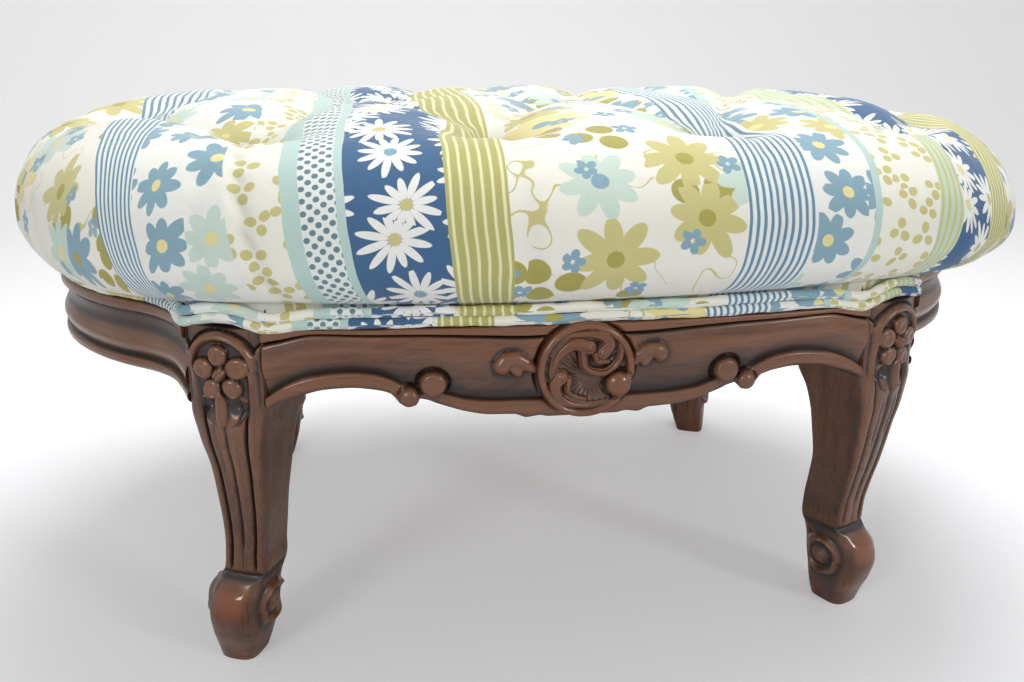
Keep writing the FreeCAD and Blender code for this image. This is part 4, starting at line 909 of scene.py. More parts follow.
def rosette_points():
    """A disc of rings and rays: rim, dished ground with fine rays, winding lobes and a ball."""
    side_rings = [ROSETTE_RADIUS + 0.1, ROSETTE_RADIUS + 0.2]
    rings = np.concatenate([np.linspace(0.6, ROSETTE_RADIUS, 92), side_rings])
    turn = np.linspace(0, 2 * math.pi, 321)[:-1]
    radius = rings[:, None] + 0 * turn
    x, z = radius * np.cos(turn), radius * np.sin(turn)
    ground = 1.0 + 1.6 * smooth(0, 26, radius)
    from_heart = np.hypot(x - HEART_X, z - HEART_Z)
    heart_angle = np.arctan2(z - HEART_Z, x - HEART_X)
    rays = np.sin(27 * heart_angle + from_heart * 0.30) * smooth(5, 11, from_heart)
    relief = ground - 1.4 * bell(from_heart - 11, 6.0) + 0.42 * rays
    rim = 2.4 + (4.2 + 0.8 * np.sin(2 * turn[None] + 0.8)) * dome(radius - RIM_RADIUS, RIM_HALF)
    mass = np.zeros_like(x)
    for points, first, last in LOBES:
        mass = np.maximum(mass, stroke(x, z, points, first, last) / max(first, last) * (3.2 + 0.55 * first))
    strand = 0.35 * np.sin(mass * 3.1)
    relief = np.where(mass > 0.3, np.maximum(relief, 0.8 + mass + strand), relief)
    relief = np.where(np.abs(radius - RIM_RADIUS) < RIM_HALF, np.maximum(relief, rim), relief)
    ball = np.hypot(x - BALL_X, z - BALL_Z)
    relief = relief - 1.6 * bell(ball - BALL_RADIUS - 0.8, 1.0)
    proud = 2.8 + 6.0 * dome(ball, BALL_RADIUS)
    relief = np.where(ball < BALL_RADIUS, np.maximum(relief, proud), relief)
    # The hollow mark gives painted shade between the lobes and painted highlights on them.
    hollow = hollows(relief, 3, closed=True)
    relief[-2:] = [[0.5], [-6.0]]
    y = BOW_CENTRE - np.sqrt(FRONT_RADIUS**2 - x**2) - relief
    lacquer = 0.35 * smooth(3.0, 7.0, relief)
    return np.stack([x, y, z + ROSETTE_HEIGHT], -1), {"hollow": hollow * 0.8, "lacquer": lacquer}


rosette_grid, rosette_marks = rosette_points()
for name, sign_y in (("front_rosette", 1), ("back_rosette", -1)):
    points = mirrored(rosette_grid, 1, sign_y)
    rosette = grid_piece(name, points, True, None, rosette_marks, end_middles(points), turned=sign_y > 0)
    fitted(rosette, WALNUT_ALONG_X, "walnut")


# The frame's closed plan line, and the end rails along it


def frame_line(count, offset, ease=0.0):
    """Points round the frame's plan, evenly spaced from the front's middle towards +X, with normals.

    Each quarter is the front arc, the knee's straight, a reverse arc and the end arc. ease rounds
    the corners: it is the reach in millimetres over which the line is averaged.
    """
    reverse_radius = math.hypot(*END_CHORD) / (2 * math.sin(END_START - END_CHORD_ANGLE))
    reverse_centre = END_SEAM + END_NORMAL * reverse_radius
    front_angle = np.linspace(0, math.asin(FRONT_SEAM[0] / FRONT_RADIUS), 200)
    front = FRONT_RADIUS * np.stack([np.sin(front_angle), -np.cos(front_angle)], -1)
    front = front + [0, FRONT_RADIUS - HALF_DEPTH - FRONT_BOW]
    knee = FRONT_SEAM + (END_SEAM - FRONT_SEAM) * np.linspace(0, 1, 60)[1:, None]
    turn = np.linspace(END_LEAVE, END_START, 120)[1:]
    reverse = reverse_centre - reverse_radius * np.stack([np.cos(turn), -np.sin(turn)], -1)
    turn = np.linspace(-END_START, 0, 200)[1:]
    end = END_CENTRE + END_RADIUS * np.stack([np.cos(turn), np.sin(turn)], -1)
    quarter = np.vstack([front, knee, reverse, end])
    right = np.vstack([quarter, (quarter * [1, -1])[::-1][1:]])
    loop = np.vstack([right, (right * [-1, 1])[::-1][1:-1]])
    closed = np.vstack([loop, loop[:1]])
    along = np.concatenate([[0], np.cumsum(np.hypot(*np.diff(closed, axis=0).T))])
    even = np.linspace(0, along[-1], count + 1)[:-1]
    line = np.stack([np.interp(even, along, column) for column in closed.T], -1)
    if ease:
        waves = np.fft.rfftfreq(count, along[-1] / count)
        keep = np.exp(-2 * (math.pi * ease * waves) ** 2)[:, None]
        line = np.fft.irfft(np.fft.rfft(line, axis=0) * keep, count, axis=0)
    course = np.roll(line, -1, 0) - np.roll(line, 1, 0)
    course /= np.hypot(*course.T)[:, None]
    normal = np.stack([course[:, 1], -course[:, 0]], -1)
    return line + normal * offset, normal, even


def end_rail_points():
    """The right end rail's points, map and marks: columns along the bowed plan, rows round the section."""
    line, normal, along = frame_line(4000, 0.0)
    first = np.argmin(np.hypot(*(line - END_SEAM).T))
    last = np.argmin(np.hypot(*(line - END_SEAM * [1, -1]).T))
    pick = np.linspace(first, last, 401).round().astype(int)
    line, normal, along = line[pick], normal[pick], along[pick] - along[first]
    normal[0], normal[-1] = normal[1], normal[-2]
    from_end = np.minimum(along, along[-1] - along)
    edge = 212.0 - 5.0 * smooth(34, 0, from_end)[None]
    top = 251.5 - 3.0 * bell(from_end - 2, 9)[None]
    line_low = edge + 8.5
    lower, field, upper = np.linspace(0, 1, 15)[:-1], np.linspace(0, 1, 41)[:-1], np.linspace(0, 1, 14)
    t = lower[:, None]
    z = [edge + (line_low - edge) * t]
    relief = [-2.4 + 2.4 * smooth(-0.1, 0.35, t) + 1.6 * bead(t) - 3.6 * smooth(0.82, 1.0, t) + 0 * edge]
    t = field[:, None]
    z.append(line_low + (top - line_low) * t)
    swell = 5.2 * bell(t - 0.30, 0.27) + 1.2 * smooth(0.6, 1.0, t) - 1.4 * smooth(0.95, 1.0, t)
    relief.append(-3.6 + swell + 0 * edge)
    t = upper[:, None]
    z.append(top + (WOOD_TOP - top) * t)
    relief.append(-3.8 * smooth(0.22, 0.0, t) + 1.3 * bead(t) - 0.9 * smooth(0.86, 1.0, t) + 0 * edge)
    z, relief = np.vstack(z), np.vstack(relief)
    # The hollow mark gives painted shade in the coves and painted highlights on the beads.
    hollow = hollows(relief, 4)
    flat = 0 * edge
    outs = np.vstack([relief, flat - SETBACK, flat - SETBACK, flat - 26.0, flat - 26.0])
    z = np.vstack([z, flat + WOOD_TOP, flat + FRAME_TOP, flat + FRAME_TOP, edge + 0.5])
    plan = line[None] + normal[None] * outs[..., None]
    for flip in ([1, 1], [1, -1]):
        seen = plan * flip
        tuck = np.clip(HALF_POST - 0.4 - (seen - STATION) @ ACROSS, 0, None) * (seen[..., 1] < 0)
        plan = plan + tuck[..., None] * ACROSS * flip
    points = np.concatenate([plan, z[..., None]], -1)
    uv = np.stack([np.broadcast_to(along, z.shape), z + 0 * outs], -1)
    return points, uv, marks_for(points, hollow=hollow)


end_grid, end_map, end_marks = end_rail_points()
for name, sign_x in (("right_rail", 1), ("left_rail", -1)):
    points = mirrored(end_grid, sign_x, 1)
    rail = grid_piece(name + "_moulded", points, False, end_map, end_marks, rolled=True, capped=True,
                      turned=sign_x < 0)
    fitted(rail, WALNUT_ROUND, "walnut", name)


# Cushion: a square grid whose rings become the plan's outline, then the profile over the edge

CUSHION_LENGTH = 384.0
CUSHION_DEPTH = 275.0
CUSHION_LOW = 275.0
CUSHION_TOP = 381.0
PROFILE = [(0, 30), (0.05, 18), (0.13, 7), (0.24, 0), (0.38, 1), (0.5, 5.5), (0.64, 15), (0.76, 27),
           (0.86, 45), (0.93, 66), (0.975, 90), (1.0, 118)]
FLAT_INSET = 118.0
WELL = ([0, 3, 6.4, 14, 29, 47, 68], [33.0, 32, 27.5, 19, 9.0, 2.6, 0])
ROW = 178.0
FRONT_TUFTS = [(-199.0, -ROW), (-49.0, -ROW), (101.0, -ROW), (251.0, -ROW)]
MIDDLE_TUFTS = [(-300.0, -60.0), (-124.0, 0.0), (26.0, 0.0), (176.0, 0.0), (326.0, 0.0)]
BACK_TUFTS = [(x, -y) for x, y in FRONT_TUFTS]
TUFTS = FRONT_TUFTS + MIDDLE_TUFTS + BACK_TUFTS


def cushion_quarter(inset):
    """The outline from the front's middle to the right end's middle, drawn in by an inset.

    It is three tangent arcs. Given back: points, normals, lengths along it and the corner's length.
    """
    length, depth = CUSHION_LENGTH - inset, CUSHION_DEPTH - inset
    share = length / CUSHION_LENGTH
    front, end, corner = 1000.0 * share, 330.0 * share, 128.0 * share
    front_centre, end_centre = np.array([0, front - depth]), np.array([length - end, 0])
    span = end_centre - front_centre
    distance = math.hypot(*span)
    near, far = front - corner, end - corner
    reach = (near**2 - far**2 + distance**2) / (2 * distance)
    rise = math.sqrt(near**2 - reach**2)
    course = span / distance
    aside = np.array([-course[1], course[0]])
    centres = [front_centre + course * reach + aside * rise, front_centre + course * reach - aside * rise]
    centre = max(centres, key=lambda place: place[0] - place[1])
    first = math.atan2(*(centre - front_centre)[::-1])
    last = math.atan2(*(centre - end_centre)[::-1])
    turn = np.concatenate([np.linspace(-math.pi / 2, first, 80)[:-1], np.linspace(first, last, 60)[:-1],
                           np.linspace(last, 0, 60)])
    normal = np.stack([np.cos(turn), np.sin(turn)], -1)
    on_front, on_end = turn < first, turn > last
    middle = np.where(on_front[:, None], front_centre, np.where(on_end[:, None], end_centre, centre))
    radius = np.where(on_front, front, np.where(on_end, end, corner))
    points = middle + normal * radius[:, None]
    along = np.concatenate([[0], np.cumsum(np.hypot(*np.diff(points, axis=0).T))])
    return points, normal, along, np.interp((first + last) / 2, turn, along)


def square_rings(half):
    """A square grid's column and row numbers from its middle, and the ring that each place is on."""
    index = np.arange(-half, half + 1)
    column, row = np.meshgrid(index, index)
    return column, row, np.maximum(np.abs(column), np.abs(row))


def cushion_ring(inset, across, deep):
    """Points and normals of one outline for places on a square's rim, given by their shares of its side."""
    points, normal, along, corner = cushion_quarter(inset)
    size_x, size_y = np.abs(across), np.abs(deep)
    s = np.where(size_y >= size_x, size_x * corner, corner + (1 - size_y) * (along[-1] - corner))
    sign = np.stack([np.sign(across + 1e-9), -np.sign(deep + 1e-9)], -1)
    place = np.stack([np.interp(s, along, column) for column in points.T], -1) * sign
    facing = np.stack([np.interp(s, along, column) for column in normal.T], -1) * sign
    return place, facing


def nearest_on_frame(places, offset):
    """The nearest points of the frame's plan line, moved out by an offset."""
    line = frame_line(1600, offset)[0]
    gap = places[:, None] - line[None]
    return line[np.argmin((gap**2).sum(-1), 1)]


def fold_distance(x, y, start, end):
    """Distance from a straight fold, signed by its side, the share of the way along, and how far past."""
    dx, dy = end[0] - start[0], end[1] - start[1]
    size = math.hypot(dx, dy)
    t = ((x - start[0]) * dx + (y - start[1]) * dy) / size**2
    beside = ((x - start[0]) * dy - (y - start[1]) * dx) / size
    past = np.clip(np.maximum(-t, t - 1), 0, None) * size
    return beside, np.clip(t, 0, 1), past


def cushion_folds():
    """Pairs of tufts that a fold joins: each front and back tuft with the two nearest in the middle row."""
    pairs = []
    for row in (FRONT_TUFTS, BACK_TUFTS):
        for index, tuft in enumerate(row):
            pairs += [(tuft, MIDDLE_TUFTS[index]), (tuft, MIDDLE_TUFTS[index + 1])]
    return pairs


def cushion_relief(x, y):
    """How far the cover dips from its plain crown: the fifth-power sum of tuft wells and crown folds."""
    dips = np.zeros_like(x)
    for tuft_x, tuft_y in TUFTS:
        dips += through(*WELL, np.hypot(x - tuft_x, y - tuft_y)) ** 5
    for start, end in cushion_folds():
        beside, t, past = fold_distance(x, y, start, end)
        near_tuft = (2 * t - 1) ** 2
        half = 30.0 + 12.0 * near_tuft
        depth = 11.0 + 7.5 * near_tuft
        dips += (depth * np.clip(1 - np.abs(beside) / half, 0, 1) ** 1.5 * bell(past, 10.0)) ** 5
    return -(dips**0.2)


def cloth_shift(x, y):
    """How far the print moves towards each crown fold, which takes in some of the cloth."""
    shift = np.zeros(x.shape + (2,))
    for start, end in cushion_folds():
        beside, _, past = fold_distance(x, y, start, end)
        dx, dy = end[0] - start[0], end[1] - start[1]
        across = np.array([dy, -dx]) / math.hypot(dx, dy)
        amount = 7.0 * np.tanh(beside / 2.0) * np.exp(-np.abs(beside) / 32.0) * bell(past, 12.0)
        shift += amount[..., None] * across
    return shift


def cushion_pleats():
    """Side pleats in the cloth's own plane: start, end, height and width of each."""
    pleats = [
        ((-199, -150), (-186, -330), 6.0, 12.0),
        ((-199, -150), (-222, -300), 2.5, 9.0),
        ((-49, -150), (-37, -330), 5.0, 11.0),
        ((101, -150), (109, -320), 2.5, 14.0),
        ((251, -160), (300, -215), 4.0, 14.0),
        ((251, -160), (262, -300), 2.0, 12.0),
    ]
    pleats += [((x, -y), (2 * x - other + 14, -end), height, width)
               for (x, y), (other, end), height, width in pleats]
    for sign, (x, y) in ((-1, MIDDLE_TUFTS[0]), (1, MIDDLE_TUFTS[-1])):
        for reach, aside, height in ((408, -196, 3.0), (446, -128, 4.0), (462, -52, 3.5), (464, 40, 3.0)):
            pleats.append(((x + sign * 14, y), (sign * reach, aside), height, 11.0))
        pleats.append(((x + sign * 14, y), (sign * 420, 160), 3.0, 12.0))
    return pleats


def cushion_points(half):
    """The cover's grid, its fabric map, how far it may swell, its plain outward normals and the mask of
    painted shade in its hollows.

    A square grid's inner rings are shares of one outline and lie flat. The outer rings follow the
    profile over the edge, and the last few turn in under it. Wells, folds and pleats move each point
    along the plain normal.
    """
    column, row, ring = square_rings(half)
    plan, facing = np.zeros((2,) + ring.shape + (2,))
    height, tilt, drop = np.zeros((3,) + ring.shape)
    shares, insets = np.array(PROFILE).T
    rise = CUSHION_LOW + (CUSHION_TOP - CUSHION_LOW) * shares
    insets, rise = insets[::-1], rise[::-1]
    travel = np.concatenate([[0], np.cumsum(np.hypot(np.diff(insets), np.diff(rise)))])
    flat_rings, tuck_rings = int(half * 0.50), 5
    edge_rings = half - flat_rings - tuck_rings
    for level in range(half + 1):
        on = ring == level
        if level == 0:
            height[on] = CUSHION_TOP
            continue
        across, deep = column[on] / level, -row[on] / level
        if level <= flat_rings:
            share = level / flat_rings
            place, out = cushion_ring(FLAT_INSET, across, deep)
            plan[on], facing[on] = place * share, out
            height[on], tilt[on], drop[on] = CUSHION_TOP, 0.25 * share**3, -FLAT_INSET
            continue
        step = min((level - flat_rings) / edge_rings, 1.0) * travel[-1]
        inset, z = through(travel, insets, step), through(travel, rise, step)
        ahead = step + 0.5
        down = through(travel, rise, step - 0.5) - through(travel, rise, ahead)
        outwards = through(travel, insets, step - 0.5) - through(travel, insets, ahead)
        place, out = cushion_ring(float(inset), across, deep)
        tuck = max(level - flat_rings - edge_rings, 0) / tuck_rings
        if tuck:
            target = nearest_on_frame(place, -8.2)
            place = place + (target - place) * math.sin(tuck * math.pi / 2)
            z = z - 9.5 * (1 - math.cos(tuck * math.pi / 2))
        plan[on], facing[on], height[on] = place, out, z
        tilt[on] = math.atan2(down, outwards)
        drop[on] = step
    normal = np.stack([facing[..., 0] * np.sin(tilt), facing[..., 1] * np.sin(tilt), np.cos(tilt)], -1)
    x, y = plan[..., 0], plan[..., 1]
    beyond = (ring > flat_rings)[..., None]
    unroll = np.clip(drop, 0, None)[..., None] * facing
    cloth = np.where(beyond, cushion_flat(column, row, ring) + unroll, plan)
    cloth = cloth + cloth_shift(x, y) * (drop < 60)[..., None]
    edge = smooth(travel[-1] + 1, travel[-1] - 26, drop)
    relief = cushion_relief(x, y) * smooth(75, 45, drop)
    side = np.zeros_like(relief)
    for start, end, depth, width in cushion_pleats():
        beside, t, past = fold_distance(cloth[..., 0], cloth[..., 1], start, end)
        shape = np.where(beside > 0, np.exp(-beside / width), -0.5 * np.exp(beside / (0.5 * width)))
        crease = shape - 1.3 * bell(beside, 0.25 * width)
        side += depth * 0.62 * crease * bell(past, 12.0) * smooth(0.0, 0.25, t) * (1 - 0.5 * t)
    size_x, size_y = np.abs(cloth[..., 0]), np.abs(cloth[..., 1])
    beyond_knee = np.hypot(size_x - 262, size_y - 300)
    gather = 1.5 * np.sin(np.arctan2(size_y, size_x) * 62) * bell(beyond_knee, 62)
    relief = relief + side * edge + gather * smooth(70, 150, drop) * edge
    share = np.clip(ring / flat_rings, 0, 1)
    points = np.concatenate([plan, height[..., None]], -1) + normal * relief[..., None]
    points[..., 2] += 2.5 * (1 - share**2)
    nearest = np.min([np.hypot(x - tx, y - ty) for tx, ty in TUFTS], 0)
    swell = smooth(4, 34, nearest) * smooth(travel[-1] + 2, travel[-1] - 26, drop)
    # Painted shade: deeper wells, folds and pleat creases get a darker mask.
    hollow_shade = np.clip(-relief / 22, 0, 1) ** 1.5 + 0.5 * np.clip(-side / 3, 0, 1)
    return points, cloth, swell, normal, hollow_shade


def cushion_flat(column, row, ring):
    """Where each ray of the grid leaves the crown: its point on the outline at the flat part's inset."""
    safe = np.maximum(ring, 1)
    place, _ = cushion_ring(FLAT_INSET, column / safe, -row / safe)
    return place


CLOTH_FRAMES = 20
CLOTH_SETTINGS = {
    "quality": 5,
    "use_pressure": True,
    "uniform_pressure_force": 4.0,
    "vertex_group_mass": "held",
    "tension_stiffness": 12,
    "compression_stiffness": 12,
    "bending_stiffness": 0.4,
}


def swollen(piece, swell, limit):
    """The piece blown up a little by the cloth simulation, by no more than limit metres at a point."""
    mesh = piece.data
    before = np.zeros(len(mesh.vertices) * 3)
    mesh.vertices.foreach_get("co", before)
    before = before.reshape(-1, 3)
    group = piece.vertex_groups.new(name="held")
    held = 1 - np.clip(swell.ravel(), 0, 1)
    for level in np.unique(held.round(1)):
        if level > 0:
            group.add(np.nonzero(held.round(1) == level)[0].tolist(), float(level), "REPLACE")
    cloth = piece.modifiers.new("cloth", "CLOTH")
    cloth.settings.effector_weights.gravity = 0
    for name, value in CLOTH_SETTINGS.items():
        setattr(cloth.settings, name, value)
    cloth.point_cache.frame_start, cloth.point_cache.frame_end = 1, CLOTH_FRAMES
    scene = bpy.context.scene
    for number in range(1, CLOTH_FRAMES + 1):
        scene.frame_set(number)
    graph = bpy.context.evaluated_depsgraph_get()
    done = piece.evaluated_get(graph).to_mesh()
    after = np.zeros(before.size)
    done.vertices.foreach_get("co", after)
    piece.evaluated_get(graph).to_mesh_clear()
    scene.frame_set(1)
    piece.modifiers.remove(cloth)
    piece.vertex_groups.remove(group)
    move = after.reshape(-1, 3) - before
    size = np.linalg.norm(move, axis=1, keepdims=True)
    capped = move * (limit * np.tanh(size / limit) / np.maximum(size, 1e-9)) * swell.reshape(-1, 1)
    mesh.vertices.foreach_set("co", (before + capped).ravel())
    mesh.update()


def finished_by(piece, **modifiers):
    """Modifiers added by kind, each with its settings."""
    for kind, settings in modifiers.items():
        made = piece.modifiers.new(kind.lower(), kind)
        for name, value in settings.items():
            setattr(made, name, value)


cover_grid, cover_map, cover_swell, _, cover_hollow_shade = cushion_points(70)
cover = grid_piece("tufted_cover", cover_grid, uv=cover_map, marks={"hollow": cover_hollow_shade}, turned=True,
                   sharp=180)
swollen(cover, cover_swell, 0.006)
finished_by(cover, SUBSURF={"levels": 1, "render_levels": 1})
fitted(cover, PRINTED_COTTON, "cover_fabric", "top_cover")


# Welts: two covered cords round the frame, dipping beside each knee


WELT_LEVEL = 263.6
WELT_STEP = 6.4
WELT_RADIUS = 3.3


def welt_points(level):
    """A closed cord round the plan: its place out and up follows the distance from the nearest knee."""
    line, normal, along = frame_line(880, 0.0, ease=4.0)
    half = len(line) // 2
    line, normal = np.roll(line, half, 0), np.roll(normal, half, 0)
    along = along - along[half]
    from_knee = np.hypot(np.abs(line[:, 0]) - STATION[0], np.abs(line[:, 1]) + STATION[1])
    dip = 3.2 * bell(from_knee - 33, 15) - 1.0 * bell(from_knee, 14)
    wave = 0.35 * np.sin(along * 0.055 + level) + 0.2 * np.sin(along * 0.13 + 2 * level)
    middle = WELT_LEVEL + WELT_STEP * level - dip + wave
    turn = np.linspace(0, 2 * math.pi, 19)[:-1, None]
    radius = WELT_RADIUS + 0.18 * np.sin(along * 0.21 + 1.7 * level) + 0.12 * np.sin(along * 0.47)
    out = -1.6 + 0.45 * dip - 0.5 * level + radius * np.cos(turn)
    height = middle + radius * np.sin(turn)
    plan = line[None] + normal[None] * out[..., None]
    points = np.concatenate([plan, height[..., None]], -1)
    uv = np.stack([along + 0 * out + 9 - 14 * level, WELT_RADIUS * turn + 0 * out + 40 * level], -1)
    return points, uv


for level, name in enumerate(("welt_lower", "welt_upper")):
    points, uv = welt_points(level)
    cord = grid_piece(name + "_cord", points, True, uv, rolled=True, sharp=180)
    fitted(cord, PRINTED_COTTON, "cover_fabric", name)


# Under the cover: wadding, firm core, hessian, webbing and ties


def simple_material(name, dark, light, scale, rough, grain=1.0, metallic=0.0):
    """A material whose tone wanders between two colours, with a bump of its own grain."""
    material, tree, shader = new_material(name)
    tone = noise(place_node(tree, "ShaderNodeTexCoord").outputs["Object"], scale, 4.0, 0.6)
    tree.links.new(blend(between(tone, 0.35, 0.65), dark, light), shader.inputs["Base Color"])
    bumped(shader, tone, 0.5, 0.001 * grain)
    finish_of(shader, Roughness=rough, Metallic=metallic)
    return material


def plain_weave():
    """Two crossed sets of threads: a checker of raised warp and weft, with a slub along each."""
    tree, given, result = shader_group(
        "plain weave",
        [("Vector", "NodeSocketVector", None), ("Pitch", "NodeSocketFloat", 2.0)],
        [("Height", "NodeSocketFloat"), ("Slub", "NodeSocketFloat")],
    )
    turns = {0: given.outputs["Vector"], "Scale": ratio(math.pi, given.outputs["Pitch"])}
    scaled = place_node(tree, "ShaderNodeVectorMath", turns, operation="SCALE")
    sines = [maths("SINE", part) for part in apart(scaled.outputs[0])[:2]]
    height = maths("ABSOLUTE", times(*sines))
    tree.links.new(height, result.inputs["Height"])
    stretched = {"Vector": given.outputs["Vector"], "Scale": (0.05, 0.9, 1)}
    slub = noise(place_node(tree, "ShaderNodeMapping", stretched).outputs[0], 1.0, 2.0)
    tree.links.new(slub, result.inputs["Slub"])
    return tree


PLAIN_WEAVE = plain_weave()


def woven(name, dark, light, pitch, stripe=None):
    """Coarse woven cloth on the piece's own map in metres, with an optional stripe near each edge."""
    material, tree, shader = new_material(name)
    flat = cloth_plane(tree)
    weave = use_group(PLAIN_WEAVE, Vector=flat, Pitch=pitch)
    tone = maths("MULTIPLY_ADD", weave.outputs["Slub"], 0.6, 0.1)
    tone = plus(tone, times(weave.outputs["Height"], 0.4), clamp=True)
    colour = blend(tone, dark, light)
    if stripe:
        edge = maths("COMPARE", maths("ABSOLUTE", apart(flat)[1]), 17.5, 1.6)
        colour = blend(times(edge, 0.8), colour, stripe)
    tree.links.new(colour, shader.inputs["Base Color"])
    bumped(shader, weave.outputs["Height"], 1.0, 0.0006)
    finish_of(shader, Roughness=0.9)
    return material


COTTON_FELT = simple_material("cotton felt", tint(0.80, 0.78, 0.72), tint(0.93, 0.92, 0.88), 130.0, 0.95)
FIRM_FOAM = simple_material("firm foam", tint(0.78, 0.70, 0.48), tint(0.88, 0.80, 0.58), 900.0, 0.9)
TWINE = simple_material("waxed twine", tint(0.45, 0.36, 0.24), tint(0.62, 0.52, 0.36), 700.0, 0.6)
HESSIAN_CLOTH = woven("hessian cloth", tint(0.42, 0.33, 0.21), tint(0.68, 0.57, 0.40), 1.9)
JUTE_WEBBING = woven("jute webbing", tint(0.40, 0.31, 0.20), tint(0.70, 0.60, 0.43), 1.5,
                     stripe=tint(0.18, 0.15, 0.13))

wadding_grid, _, _, wadding_normal, _ = cushion_points(34)
wadding = grid_piece("cotton_wadding_layer", wadding_grid - wadding_normal * 5.0, turned=True, sharp=180)
finished_by(wadding, SOLIDIFY={"thickness": 0.014, "offset": -1.0})
fitted(wadding, COTTON_FELT, "cotton_felt", "cotton_wadding")


CORE_LOW = 281.4
CORE_INSET = 50.0
CORE_FLAT = 0.7
CORE_PROFILE = [(0.0, 0.0, 47.0), (0.7, 30.0, 45.0), (0.8, 14.0, 40.0), (0.87, 4.0, 30.0), (0.93, 1.0, 15.0),
                (1.0, 8.0, 0.0)]


def core_points(half):
    """The core's block: a square grid whose rings become its outline, rising to a slightly crowned top."""
    column, row, ring = square_rings(half)
    points = np.zeros(ring.shape + (3,))
    share, inset, rise = np.array(CORE_PROFILE).T
    for level in range(1, half + 1):
        on = ring == level
        across, deep = column[on] / level, -row[on] / level
        part = level / half
        shrink = min(part / CORE_FLAT, 1.0)
        edge = float(np.interp(part, share, inset)) if part > CORE_FLAT else inset[1]
        place, _ = cushion_ring(CORE_INSET + edge, across, deep)
        points[on, :2] = place * shrink
        points[on, 2] = CORE_LOW + np.interp(part, share, rise)
    points[half, half, 2] = CORE_LOW + rise[0]
    return points


core = grid_piece("firm_core_block", core_points(40), turned=True, sharp=180)
finished_by(core, SOLIDIFY={"thickness": 0.02, "offset": -1.0})
fitted(core, FIRM_FOAM, "firm_foam", "firm_core")


WEBBING_HALF = 25.0
WEBBING_LEVEL = 277.5


def strap(name, lengthwise, line, crossings):
    """A webbing strip with a flat oval section, which runs over and under the strips it crosses."""
    run = np.linspace(-1, 1, 261)
    plan = frame_line(1600, -13.0)[0]
    beside = plan[:, 1] if lengthwise else plan[:, 0]
    ahead = plan[:, 0] if lengthwise else plan[:, 1]
    edge = np.linspace(-WEBBING_HALF, WEBBING_HALF, 15)
    reach = np.array([np.abs(ahead[np.abs(beside - line - offset) < 3]).min() for offset in edge])
    offset = np.concatenate([edge, edge[::-1]])
    reach = np.concatenate([reach, reach[::-1]])
    side = np.concatenate([np.ones(15), -np.ones(15)])
    section = 0.7 * side * np.sqrt(np.clip(1 - (offset / (WEBBING_HALF + 0.4)) ** 2, 0.0, 1)) ** 0.3
    along = run[None] * reach[:, None]
    lift = np.zeros_like(along)
    for place, up in crossings:
        lift += up * 0.75 * bell(along - place, 34.0)
    height = WEBBING_LEVEL + lift + section[:, None] + 0 * along
    across = line + offset[:, None] + 0 * along
    x, y = (along, across) if lengthwise else (across, along)
    points = np.stack([x, y, height], -1)
    uv = np.stack([along, across - line], -1)
    piece = grid_piece(name + "_strip", points, False, uv, rolled=True, capped=True, turned=not lengthwise)
    fitted(piece, JUTE_WEBBING, "jute_webbing", name)


LONG_LINES = [-105.0, 0.0, 105.0]
CROSS_LINES = [-164.0, -82.0, 0.0, 82.0, 164.0]
for first, line in enumerate(LONG_LINES):
    over = [(place, (-1) ** (first + second)) for second, place in enumerate(CROSS_LINES)]
    strap(f"webbing_long_{first + 1}", True, line, over)
for second, line in enumerate(CROSS_LINES):
    under = [(place, -((-1) ** (first + second))) for first, place in enumerate(LONG_LINES)]
    strap(f"webbing_cross_{second + 1}", False, line, under)


def sheet_points(offset, height, count):
    """A flat sheet: rings from the middle out to the frame's plan line moved by an offset."""
    line = frame_line(count, offset)[0]
    ring = np.linspace(0.04, 1, 26)[:, None, None]
    plan = line[None] * ring
    wave = 0.25 * np.sin(plan[..., 0] * 0.07) * np.sin(plan[..., 1] * 0.09)
    points = np.concatenate([plan, (height + wave)[..., None]], -1)
    return points, plan


hessian_top, hessian_map = sheet_points(-15.0, 281.0, 400)
layers = np.concatenate([hessian_top, hessian_top[::-1] - [0, 0, 0.7]])
layer_map = np.concatenate([hessian_map, hessian_map[::-1]])
hessian = grid_piece("hessian_sheet", layers, True, layer_map, poles=end_middles(layers), turned=True)
fitted(hessian, HESSIAN_CLOTH, "hessian_cloth", "hessian")


def roll_points(centre, half, radius):
    """A twisted felt roll along X: a circle whose radius is pinched in the middle, with rounded ends."""
    t = np.linspace(-1, 1, 25)[1:-1, None]
    turn = np.linspace(0, 2 * math.pi, 19)[:-1]
    twist = 0.10 * np.sin(3 * turn + 4.0 * t)
    size = radius * (1 - t**6) ** 0.5 * (1 - 0.42 * bell(t, 0.16)) * (1 + twist)
    x = centre[0] + half * t + 0 * turn
    return np.stack([x, centre[1] + size * np.cos(turn), centre[2] + size * np.sin(turn)], -1)


rolls = tubes_piece("tie_rolls", [roll_points((x, y, 272.6), 11.0, 3.0) for x, y in TUFTS])
fitted(rolls, COTTON_FELT, "cotton_felt", "twine_ties")


DOWEL_RADIUS = 5.0
DOWEL_CHAMFER = 1.0
DOWEL_HEIGHTS = (224.0, 248.0)


def dowel_points(start, course, length):
    """A plain dowel: a circle carried along its course, with chamfered ends."""
    course = np.array([course[0], course[1], 0.0])
    aside = np.array([-course[1], course[0], 0.0])
    turn = np.linspace(0, 2 * math.pi, 25)[:-1, None]
    circle = np.cos(turn) * aside + np.sin(turn) * np.array([0, 0, 1.0])
    narrow = DOWEL_RADIUS - DOWEL_CHAMFER
    steps = [(0.0, narrow), (DOWEL_CHAMFER, DOWEL_RADIUS), (length - DOWEL_CHAMFER, DOWEL_RADIUS),
             (length, narrow)]
    return np.stack([start + course * reach + circle * radius for reach, radius in steps])


